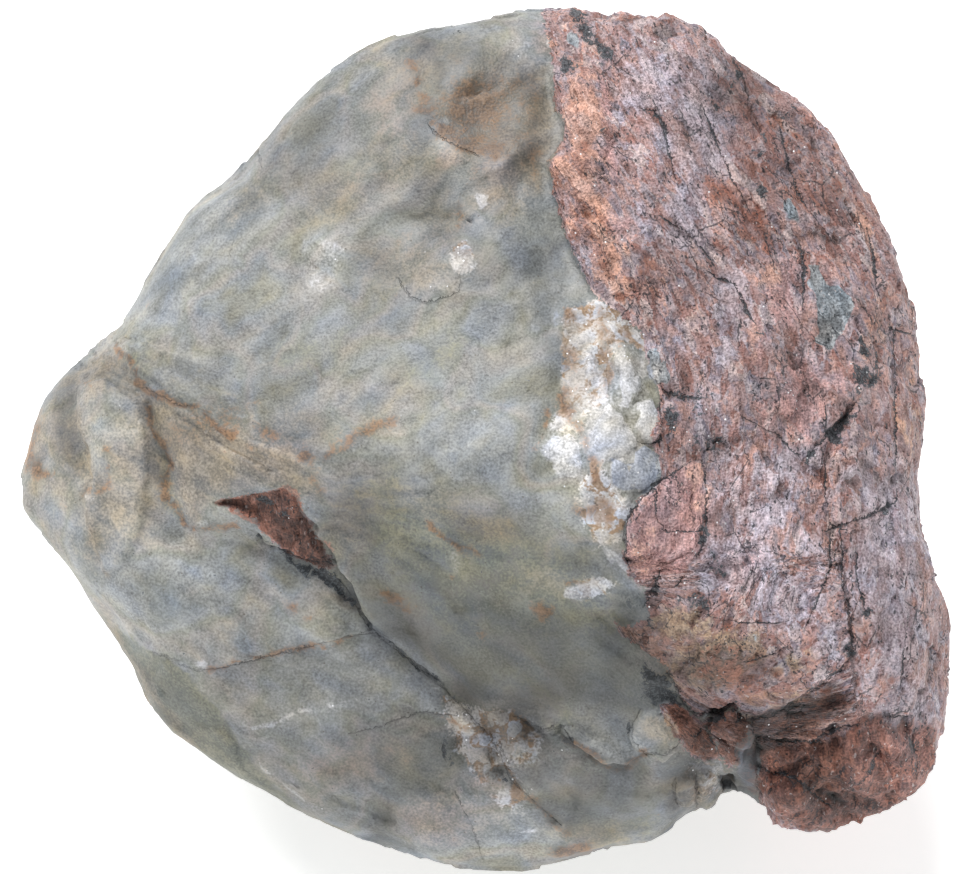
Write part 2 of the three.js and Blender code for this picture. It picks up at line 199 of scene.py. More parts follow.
@dataclass(frozen=True)
class Drawing:
    """The broad face as it is drawn: seen from an eye in front of it, in mm from its middle."""

    middle: Triple = (-0.797, -11.519, 90.0)
    tip_back: float = 40.0
    eye_distance: float = 700.0
    view_width: float = 211.2

    def laid(self, scene_points: Array) -> Array:
        """Turns places in the scene, in metres, into the drawing's own axes, in mm."""
        return self.turned(scene_points / MM - np.array(self.middle))

    def turned(self, directions: Array) -> Array:
        """Turns directions in the scene to the drawing's axes.

        Args:
            directions: one row of three each, in the scene.

        Returns:
            Rows of the parts to the right, up the face and towards the eye.
        """
        cosine = math.cos(math.radians(self.tip_back))
        sine = math.sin(math.radians(self.tip_back))
        right, back, up = directions.T
        return np.stack([right, back * cosine + up * sine, up * cosine - back * sine], axis=1)

    def drawn(self, laid_points: Array) -> Array:
        """Where the eye sees laid places: x and y on the drawing, and the depth as it is."""
        nearness = 1 - laid_points[:, 2:] / self.eye_distance
        return np.hstack([laid_points[:, :2] / nearness, laid_points[:, 2:]])

    def towards_eye(self) -> Vector:
        """The direction from the stone to the eye, in the scene."""
        angle = math.radians(self.tip_back)
        return Vector((0, -math.sin(angle), math.cos(angle)))


def line_distance(line: Points, places: Array) -> tuple[Array, Array, Array]:
    """Measures places against an open line.

    Args:
        line: the line's points, in mm on the drawing.
        places: rows that begin with x and y.

    Returns:
        The distance to the line, the side (1 to its left and -1 to its right), and the run
        along it, from 0 at its start to 1 at its end.
    """
    best = np.full(len(places), np.inf, np.float32)
    side = np.ones(len(places), np.float32)
    run = np.zeros(len(places), np.float32)
    ends = np.array(line, np.float32)
    lengths = np.hypot(*(ends[1:] - ends[:-1]).T)
    before = 0.0
    for start, end, length in zip(ends[:-1], ends[1:], lengths):
        along = end - start
        away = places[:, :2] - start
        share = np.clip(away @ along / length**2, 0, 1)
        gap = away - share[:, None] * along
        distance = np.hypot(gap[:, 0], gap[:, 1])
        nearer = distance < best
        best = np.where(nearer, distance, best)
        turn = along[0] * away[:, 1] - along[1] * away[:, 0]
        side = np.where(nearer, np.where(turn < 0, -1, 1), side)
        run = np.where(nearer, before + share * length, run)
        before += length
    return best, side, run / before


@dataclass(frozen=True)
class Oval:
    """An oval mark of half widths `across` and `up`, where the cover falls to a half."""

    x: float
    y: float
    across: float
    up: float
    strength: float
    turn: float = 0.0

    FADE = (1.7, 0.3)  # where the cover is gone and where it is full, in half widths

    def cover(self, places: Array) -> Array:
        """Lays the mark on.

        Args:
            places: rows that begin with x and y.

        Returns:
            How strongly it covers each place, from 0 to its strength.
        """
        cosine = math.cos(math.radians(self.turn))
        sine = math.sin(math.radians(self.turn))
        right = places[:, 0] - self.x
        high = places[:, 1] - self.y
        away = np.hypot(
            (right * cosine + high * sine) / self.across,
            (high * cosine - right * sine) / self.up,
        )
        return self.strength * smoothstep(*self.FADE, away)


def ovals(*rows: tuple[float, ...]) -> tuple[Oval, ...]:
    """Ovals from rows of x, y, half width, half height, strength and any turn in degrees."""
    return tuple(Oval(*row) for row in rows)


@dataclass(frozen=True)
class Area:
    """A mark with a drawn outline. `soft` mm to either side of it the cover is full or gone."""

    outline: Points
    soft: float
    strength: float = 1.0

    def inside(self, places: Array) -> Array:
        """Measures places against the outline.

        Args:
            places: rows that begin with x and y.

        Returns:
            The distance to the outline in mm, positive inside it.
        """
        closed = self.outline + self.outline[:1]
        distance, _, _ = line_distance(closed, places)
        within = np.zeros(len(places), bool)
        for (ax, ay), (bx, by) in zip(closed[:-1], closed[1:]):
            if ay == by:
                continue
            crosses = (ay > places[:, 1]) != (by > places[:, 1])
            at = ax + (places[:, 1] - ay) * (bx - ax) / (by - ay)
            within ^= crosses & (places[:, 0] < at)
        return np.where(within, distance, -distance)

    def cover(self, places: Array) -> Array:
        """How strongly the mark covers each place, from 0 to its strength."""
        return self.strength * smoothstep(-self.soft, self.soft, self.inside(places))


@dataclass(frozen=True)
class Streak:
    """A mark along a line, `width` mm to where the cover falls to a half."""

    line: Points
    width: float
    strength: float

    def cover(self, places: Array) -> Array:
        """How strongly the mark covers each place, from 0 to its strength."""
        distance, _, _ = line_distance(self.line, places)
        return self.strength * smoothstep(2 * self.width, 0, distance)


@dataclass(frozen=True)
class Crack:
    """A crack cut into the surface along a line: its half width and depth in mm."""

    line: Points
    width: float
    depth: float


@dataclass(frozen=True)
class Step:
    """A ledge: right of the line the ground lies `drop` mm lower, and comes back over `reach`.

    `edge` mm to either side of the line the fall begins and ends.
    """

    line: Points
    drop: float
    reach: float
    edge: float


Mark = Oval | Area | Streak


class Tint(Enum):
    """What colours the stone apart from its two rocks; two of them also paint shade."""

    TAN = "tan"
    RUST = "rust"
    OLIVE = "olive"
    MILK = "milk"
    # darker grey, and painted shade over the quartz's lower face
    SHADE = "shade"
    BLUSH = "blush"
    # black mica and dark spots, and painted shadow in the red chip's crack and along the step
    # below it
    SOOT = "mica_and_shadow"
    BRICK = "brick"
    EMBER = "ember"
    MAUVE = "mauve"
    LENS = "lens"
    PINK = "pink"


# Where the quartz ends and the granite begins, from the top down. The quartz lies to its right.
VEIN_EDGE: Points = (
    (13.2, 104.9), (13.4, 94.4), (16.1, 82.9), (15.8, 77.4), (16.7, 72.4), (18.9, 68.6),
    (18, 65.3), (15, 60.3), (16.7, 51.7), (18.5, 45.5), (24.6, 31.9), (35.2, 23.5), (39.6, 8.1),
    (37.8, -0.7), (38.9, -6.4), (38.5, -10.3), (35.2, -12.8), (33, -16.5), (31.9, -20.5),
    (31.5, -26.2), (32.6, -30.4), (36.3, -33.7), (37.8, -44.7), (44.4, -57.9), (48.4, -61.4),
    (56.3, -59.2), (59.8, -62.7), (60.9, -67.8), (61.6, -88.7),
)
VEIN_WANDER = 7.0  # how far the contact strays from straight through the stone, on the far side

# Bits of granite on the quartz side of the contact, and of quartz on the granite side.
GRANITE_BITS = (
    Area(((-59, -14.5), (-48, -11.9), (-42.9, -11.4), (-40.7, -13), (-36.7, -20.9), (-31.9, -27.5),
          (-32.6, -29.7), (-41.1, -26.2), (-44.4, -24), (-49.5, -18.5), (-53.2, -16.3)), 0.5),
    Area(((28.8, -39.6), (31.7, -42.2), (36.7, -40.3), (39.2, -44.7), (41.4, -50.8),
          (31.2, -43.8)), 0.5),
    Area(((39.4, -58.7), (43.1, -57.9), (49.1, -62.9), (53.2, -70.2), (51.3, -71.7), (47.3, -70.6),
          (44.4, -67.8), (40.3, -61.4)), 0.5),
    Area(((49.1, -63.1), (53.2, -60.5), (56.8, -59.8), (59.4, -62.7), (56.8, -72.4), (54.6, -72.8),
          (51, -66.2)), 0.5),
)
QUARTZ_BITS = (
    Area(((56.5, -67.5), (60.9, -66.2), (61.4, -77.7), (57.4, -78.1), (54.6, -75.2),
          (55.9, -72.8)), 0.5),
)

CRACKS = (
    # the long crack that carries on from the red chip, down to the lower edge
    Crack(((-32.3, -29.7), (-29.3, -33.2), (-24, -42.5), (-10.6, -53), (-2.6, -60.5)), 0.5, 1.6),
    Crack(((-2.6, -60.5), (4.4, -69.3), (6.8, -75.2), (10.6, -79)), 0.5, 1.5),
    Crack(((10.6, -79), (18, -85.6)), 0.5, 1.3),
    Crack(((-2.2, -61.4), (4.4, -67.1), (7, -73.7)), 0.4, 0.6),
    Crack(((-61.6, -51.3), (-56.8, -50.8), (-29.7, -44), (-23.1, -42.9)), 0.5, 0.5),
    Crack(((-72.6, -46.9), (-61.6, -51.7)), 0.6, 0.7),
    Crack(((-5.5, -78.1), (-0.9, -87.6), (0.7, -93.5)), 0.5, 0.5),
    Crack(((-29.7, -65.6), (-22.9, -64), (-13.2, -60.5), (-2.6, -61.4)), 0.5, 0.4),
    Crack(((-8.6, -67.1), (-7.5, -71.1)), 0.6, 0.6),
    Crack(((7.7, -61.4), (14.3, -64.7), (17.8, -63.4), (20.7, -67.5)), 0.6, 0.7),
    Crack(((-18.3, 36.3), (-17.4, 33.4), (-15.2, 30.6), (-11.7, 29.5), (-4.6, 31.5),
           (-4.4, 35.6)), 0.5, 0.45),
    Crack(((-53.9, 43.3), (-55.2, 41.1), (-54.6, 38.5)), 0.4, 0.3),
    Crack(((-73.3, 10.6), (-66.2, 6.8), (-63.8, 6.8)), 0.5, 0.4),
    # granite, upper part
    Crack(((35.2, 72.4), (38.5, 71.5), (40.5, 68), (42.9, 57)), 0.6, 0.9),
    Crack(((66, 68), (67.8, 59.8), (70.2, 53.2), (71.7, 51)), 0.7, 1),
    Crack(((50.4, 36.3), (53.2, 34.3), (55.9, 33.9), (58.7, 27.1), (60.5, 25.3)), 0.7, 0.9),
    Crack(((70.2, 44), (71.3, 36.3), (71.1, 27.5)), 0.6, 0.8),
    Crack(((55.7, 82.9), (57.6, 79.6), (59, 75.2)), 0.8, 0.9),
    Crack(((39.6, 48.8), (48.4, 42), (51, 38.5)), 0.5, 0.6),
    Crack(((83.2, 8.1), (71.7, -4.4)), 0.9, 1.4),
    Crack(((77.7, 2.9), (77.4, -1.8), (75.7, -7.3), (75.9, -13.2), (77.4, -20.5)), 0.6, 0.9),
    Crack(((76.1, 2.2), (75.9, 7.3)), 0.6, 0.7),
    Crack(((57.2, 4.6), (64.9, 0.7), (71.3, -5.3)), 0.5, 0.6),
    Crack(((76.1, -20.7), (86.5, -16.9), (91.5, -14.3)), 0.7, 0.9),
    Crack(((89.5, 24.2), (95.9, 22.2)), 0.5, 0.6),
    Crack(((90.9, 23.5), (91.7, -13.9)), 0.6, 0.9),
    Crack(((84.9, 46.4), (86.7, 38.9), (87.6, 30.1)), 0.5, 0.6),
    Crack(((48.4, 74.1), (55, 57.6), (59.8, 48.8)), 0.5, 0.6),
    # granite, round the pink block and down the hump
    Crack(((46.2, -5.5), (38.9, -10.3), (36.1, -12.8), (33.4, -16.3), (31.9, -19.6), (31.9, -26.2),
           (33, -29)), 0.7, 1),
    Crack(((38.9, -10.8), (38.9, -17.8), (41.6, -21.6)), 0.5, 0.7),
    Crack(((32.3, -20.9), (48.6, -20.7)), 0.35, 0.3),
    Crack(((49.5, -7.3), (49.9, -20.7), (48.2, -26), (43.1, -32.8)), 0.7, 0.9),
    Crack(((39.6, -29.7), (36.1, -37.2)), 0.7, 0.9),
    Crack(((77, -20.9), (77, -28.8), (71.3, -42.7)), 0.5, 0.7),
    Crack(((79.4, -20.9), (79.9, -33), (81.4, -39.2), (82.1, -49.5)), 0.7, 1.1),
    Crack(((82.9, -24.9), (82.9, -31), (84.9, -38.9)), 0.6, 0.8),
    Crack(((94.2, -38.9), (92.4, -55.7)), 0.5, 0.6),
    Crack(((46.6, -38.1), (54.6, -40.5), (64.7, -41.1), (68.2, -40.3)), 0.4, 0.35),
    Crack(((57.6, -49.7), (64.7, -47.7), (70.8, -43.8)), 0.45, 0.45),
    Crack(((82.1, -48), (79, -51.3), (66.9, -60.3), (56.8, -62.7)), 1.2, 1.6),
    Crack(((41.4, -51.7), (44.9, -59.2), (47.5, -61.4), (55.7, -59.6), (57.6, -61.4)), 0.8, 1.3),
    Crack(((61.4, -65.8), (68, -67.1), (73.7, -66.9), (77.4, -64.7), (83.2, -62.7), (88, -61.6),
           (93.5, -61.4)), 0.8, 1.2),
    Crack(((60.5, -71.1), (63.8, -73.7), (68.6, -74.6), (77, -81.2)), 0.7, 0.8),
    Crack(((85.4, -64.5), (87.1, -69.3), (85.4, -74.6), (81.4, -77.7)), 0.7, 0.8),
    Crack(((93.5, -64.5), (96.4, -71.1), (95, -77.7)), 0.6, 0.7),
    Crack(((44.9, -67.5), (47.1, -66.2), (49.3, -63.6), (53.2, -70.4)), 0.5, 1.3),
    Crack(((59.8, -62.7), (60.9, -67.8), (60.9, -77.7)), 0.7, 1.2),
    Crack(((35.2, -60.1), (33.4, -63.6), (33.7, -67.1), (36.3, -69.3), (40, -70), (43.3, -68.4),
           (44.4, -65.8)), 0.5, 1.2),
    Crack(((43.1, -75), (42.5, -78.1), (43.6, -81)), 0.5, 1),
    Crack(((47.5, -73.7), (47.7, -81.2)), 0.5, 1.1),
    Crack(((39.6, 8.1), (39.6, -0.7), (37, -1.8), (34.5, -0.9)), 0.5, 0.9),
    Crack(((37.4, 13.4), (40.9, 9.9), (44, 8.8), (48.4, 8.6)), 0.7, 1),
    # quartz, light marks
    Crack(((-13.2, 71.9), (-11, 68), (-7.5, 65.3), (1.8, 60.9)), 0.5, 0.4),
    Crack(((-48.8, 63.1), (-48, 59.6)), 0.6, 0.7),
)

STEPS = (
    Step(((-40.3, -13.2), (-36.7, -20.7), (-32.1, -27.1), (-24, -42.2), (-10.6, -52.6),
          (-7, -56.1)), 0.9, 8, 0.35),
    Step(((7.7, -61.4), (14.3, -64.7), (17.8, -63.6), (20.2, -67.1), (25.1, -70.4), (28.8, -71.9),
          (32.6, -72.4), (37.4, -68.9)), 2, 9, 0.4),
    Step(((-60.5, -51.5), (-23.8, -42.9)), 0.6, 8, 0.3),
    Step(((39.6, -9.5), (36.1, -12.8), (31.9, -19.6), (31.9, -26.2), (33, -29)), 1, 4, 0.5),
    Step(((28.6, 27.9), (35.2, 23.5), (37.8, 15.8), (39.6, 8.1), (37.8, -0.7),
          (38.9, -6.4)), 0.8, 5, 0.5),
    Step(((16.3, 82.9), (15.8, 77.4), (16.7, 72.4), (18.9, 68.6), (18, 65.3), (15, 60.3),
          (16.7, 51.7), (21.3, 38.5), (24.6, 31.9), (27.3, 29.5)), 1.1, 6, 0.5),
    Step(((82.1, -48), (79, -51.3), (66.9, -60.3), (59.8, -62.3)), -1, 7, 0.8),
)

# Outlines that marks of more than one kind share.
NOSE_RIB: Points = (
    (-88.4, 10.8), (-88, 3.7), (-86.2, -3.3), (-84.5, -8.6), (-86.2, -13), (-86, -18.3),
    (-84.3, -24), (-82.3, -30.1), (-77.4, -27.1), (-74.4, -18.3), (-73.3, -9.5), (-73.9, -0.7),
    (-75.2, 7.3), (-81.8, 12.5),
)
NOSE_LINE = NOSE_RIB[:8]  # the rib's left edge
NOSE_HOLLOW: Points = (
    (-93.3, 8.1), (-89.8, 9.5), (-85.4, -9.5), (-90.2, -9.5), (-93.1, -2.9),
)
TOP_CRYSTAL: Points = (
    (34.8, 7.3), (37.4, 8.1), (39.2, 5.5), (39.6, 1.1), (37.4, -1.3), (35, -0.7), (34.1, 2.9),
)
GREY_CRYSTAL: Points = (
    (33.4, -5.1), (35.2, -2.2), (37.8, -2), (39.6, -5.5), (39.6, -9), (35.6, -11.7), (33.4, -9),
)
LONG_CRYSTAL: Points = (
    (29.5, 20.5), (31.7, 20.9), (33.9, 16.1), (35.2, 10.8), (33, 7.3), (29.9, 16.5),
)
EDGE_CRYSTAL: Points = (
    (36.5, 17.8), (38.7, 20), (40.5, 16.9), (41.4, 11.7), (38.3, 13.4), (37, 15.2),
)
LOWER_BEVEL: Points = (
    (-79.6, -41.6), (-65.6, -50.8), (-58.1, -58.3), (-51.9, -68.4), (-44.9, -78.1), (-23.8, -91.3),
    (-30.8, -93.1), (-48.4, -84.3), (-61.6, -75.5), (-72.6, -64.5), (-79.6, -53.5),
)

# Hollows (negative) and rises inside a drawn mark, in mm.
SWELLS = (
    Area(GRANITE_BITS[0].outline, 0.5, -1.3),
    Area(((-51.3, -19.6), (-45.8, -24.2), (-39.6, -27.7), (-32.3, -28.4), (-26.8, -36.5),
          (-24, -42.5), (-33.2, -34.1), (-49.1, -22.2)), 0.5, -2.2),
    Area(((33.4, -64), (34.8, -60.5), (38.7, -59.6), (44.2, -65.3), (43.6, -68), (40, -69.7),
          (35.6, -68.9), (33.4, -67.1)), 0.6, 2.2),
    Area(NOSE_RIB, 0.6, 1.1),
    Area(NOSE_HOLLOW, 1.2, -0.8),
    Streak(((-73.5, 7.3), (-70.4, -9.5), (-67.8, -16.5), (-64.2, -19.6)), 1, -0.7),
    Area(((49.5, -62.5), (51.3, -60.3), (55.7, -59.4), (57.6, -61.2), (55.7, -60.5),
          (50.4, -63.6)), 0.4, -3),
    Area(((52.6, -74.4), (55.2, -74.1), (56.1, -77.7), (53.7, -78.1)), 0.5, -3),
    Area(GRANITE_BITS[2].outline, 0.5, 1.6),
    Area(GRANITE_BITS[3].outline, 0.5, 2),
    Area(((77.7, 2.9), (81, 5.5), (81.4, 2.6), (78.3, -1.1)), 0.5, -1),
    Area(((73, 38.5), (76.3, 33), (79, 33.9), (81.4, 29.5), (81, 25.3), (75.7, 18.3), (74.4, 21.6),
          (73.5, 30.1)), 0.6, -0.5),
    *ovals(
        (-7, 35, 7, 6, 0.9), (-3.7, 39.4, 2.6, 3.5, 0.5), (-33, 38, 6, 6, 0.5, 30),
        (28, -4, 5, 7, 0.8), (34.5, -4, 3.1, 5.3, 0.7), (24, 8, 4, 9, 0.5), (29, 19, 6, 5, 0.4),
        (1, 70, 7, 6, -0.5, 20), (5.5, 62.7, 4.8, 3.5, 0.6, 30), (-7, 62, 3.5, 2.6, 0.4),
        (-85.1, -18.3, 1.8, 6.6, 0.8, -15), (52.6, -72.8, 1.5, 1.3, 0.9), (70, -78, 6, 4, 1.2, 20),
        (81.4, -72.2, 4.8, 3.5, 1.1, -20), (92, -73, 4, 5, 0.9), (79.2, -82.5, 5.7, 2.6, 0.9, 10),
        (66, -70, 4, 2, 0.8, 10), (40.9, 89.3, 3.1, 1.5, -1.6), (44, -23, 7, 8, 0.8),
    ),
    # along the orange lip of the granite
    *ovals(
        (23.8, 77.7, 3.5, 4, 1.2), (20.7, 70.2, 2.6, 3.1, 1), (26, 68.4, 2.6, 3.5, 0.8),
        (18, 59.2, 2.6, 2.6, 1.2), (24.2, 61.4, 3.1, 3.1, 1), (21.1, 53, 2.6, 3.1, 1.1),
        (27.3, 54.3, 2.6, 3.1, 0.7), (21.6, 45.1, 2.2, 3.5, 1.2, -15), (27.3, 46.9, 2.9, 2.6, 0.9),
        (33.4, 42, 3.5, 2.2, 0.9, 10), (25.5, 38.1, 2.6, 2.2, 1.1), (31.2, 34.1, 3.5, 2, 1, 10),
        (23.3, 49.1, 2.2, 1.1, -1, -30), (29, 38.5, 1.8, 1.1, -0.8),
    ),
    # the crystals of the white patch
    Area(TOP_CRYSTAL, 0.6, 1.5),
    Area(GREY_CRYSTAL, 0.7, 1.2),
    Area(((25.5, 3.3), (28.6, 7.3), (30.8, 5.1), (33.9, -0.2), (32.1, -4.2), (27.7, -4.6),
          (25.1, -1.1)), 0.7, 1.1),
    Area(LONG_CRYSTAL, 0.6, 1.1),
    Area(EDGE_CRYSTAL, 0.6, 0.9),
    Area(((23.3, 17.8), (25.1, 17.8), (26, 14.3), (24.6, 11.7), (23.3, 14.3)), 0.5, 0.9),
    Area(((15.8, -0.7), (19.8, 0.2), (22, -4.2), (21.1, -8.1), (18, -6.8),
          (15.8, -3.7)), 0.8, 0.9),
    Area(((29, -5.9), (32.1, -5.5), (33, -10.3), (30.4, -11.7), (28.6, -9)), 0.6, 0.7),
    *ovals(
        (22, 8.1, 2.2, 1.8, 0.6, 20), (32.6, 2.9, 1.1, 2.2, -1),
    ),
    # the lobe's lumps and the hollows between them
    Streak(((62, -76.3), (64.9, -73.7), (68.2, -72.6), (71.1, -70.2)), 0.9, -1.5),
    Streak(((71.7, -75), (73, -77.7), (76.6, -79), (79.6, -81.2), (81.4, -83.4)), 1, -1.5),
    Streak(((78.3, -67.1), (79, -71.1), (77.9, -75), (74.4, -77.7)), 1, -1.4),
    Streak(((85.4, -67.1), (91.5, -72.8), (90.6, -75), (86.2, -75)), 0.9, -1.3),
    Streak(((81, -78.5), (86.2, -79.9), (90.2, -77.7)), 0.8, -1),
    Streak(((63.4, -79.9), (66.9, -81.2), (70.4, -80.3)), 0.7, -0.8),
    *ovals(
        (67.3, -77.2, 4.4, 3.3, 2.9, -15), (83, -74, 6, 4, 2.6, -20), (93, -72, 4, 5, 2),
        (70.4, -82.9, 5.7, 2.4, 2), (71.7, -70.2, 5.3, 2.2, 1.6, 10), (86.2, -66.2, 5.3, 2, 1.6),
        (88, -79.9, 4.8, 2, 0.9, 25),
    ),
    # small lumps at the quartz's lower right corner
    Area(((43.1, -75.5), (46.2, -74.1), (47.5, -77.2), (47.1, -80.7), (44, -80.7),
          (42.7, -78.1)), 0.5, 1.3),
    Area(((48.4, -73.7), (51.5, -72.4), (52.8, -75.5), (51.9, -79.9), (48.8, -81.2),
          (48, -77.2)), 0.5, 1.5),
    Area(((17.6, -65.6), (26.4, -68.4), (31.7, -69.3), (35.2, -68.4), (32.6, -71.1), (28.2, -71.5),
          (19.8, -67.5)), 1.2, 0.8),
    Oval(46.9, -71.5, 2, 1.5, -0.8),
    # chips along the long crack's lower end
    *ovals(
        (6.8, -71.5, 1.8, 1.3, 1.2), (6.2, -77.7, 2, 2, 1.2), (-2.2, -63.6, 2.4, 2, 1.1),
        (0, -67.1, 1.8, 1.1, 0.9, 20), (11.4, -77.2, 2.4, 1.8, 1, 30), (1.8, -77.7, 2, 1.8, 0.9),
        (4.4, -73.7, 1.3, 1.1, -1.2), (-5.3, -67.1, 1.3, 1.8, -1), (2.6, -70.2, 1.8, 0.9, -1, -50),
    ),
)

# Where the quartz is broken into pebbly lumps.
RUBBLE = (
    Area(((19, 28), (26, 30), (31, 28), (39, 19), (35, 19), (32, 21), (29, 20), (29, 12), (27, 7),
          (24, 6), (22, 1), (15, 2), (18, 7), (18, 17)), 1.5, 0.85),
    Area(((22, -9), (26, -6), (33, -15), (31, -23), (26, -24), (22, -17)), 1.5, 0.8),
    Area(((-9, -56), (-2, -59), (9, -60), (14, -66), (13, -71), (7, -73), (11, -79), (9, -83),
          (4, -81), (-6, -68)), 2, 0.62),
    Area(((-6.2, 42), (-3.1, 42.9), (-1.3, 39.8), (-2.2, 36.3), (-5.3, 35.9)), 1, 1),
    Area(((44.9, -71.9), (52.4, -71.5), (53.2, -78.1), (46.2, -81.2)), 1, 0.5),
    Oval(24.2, -33.2, 4.8, 2, 0.8, 10),
)
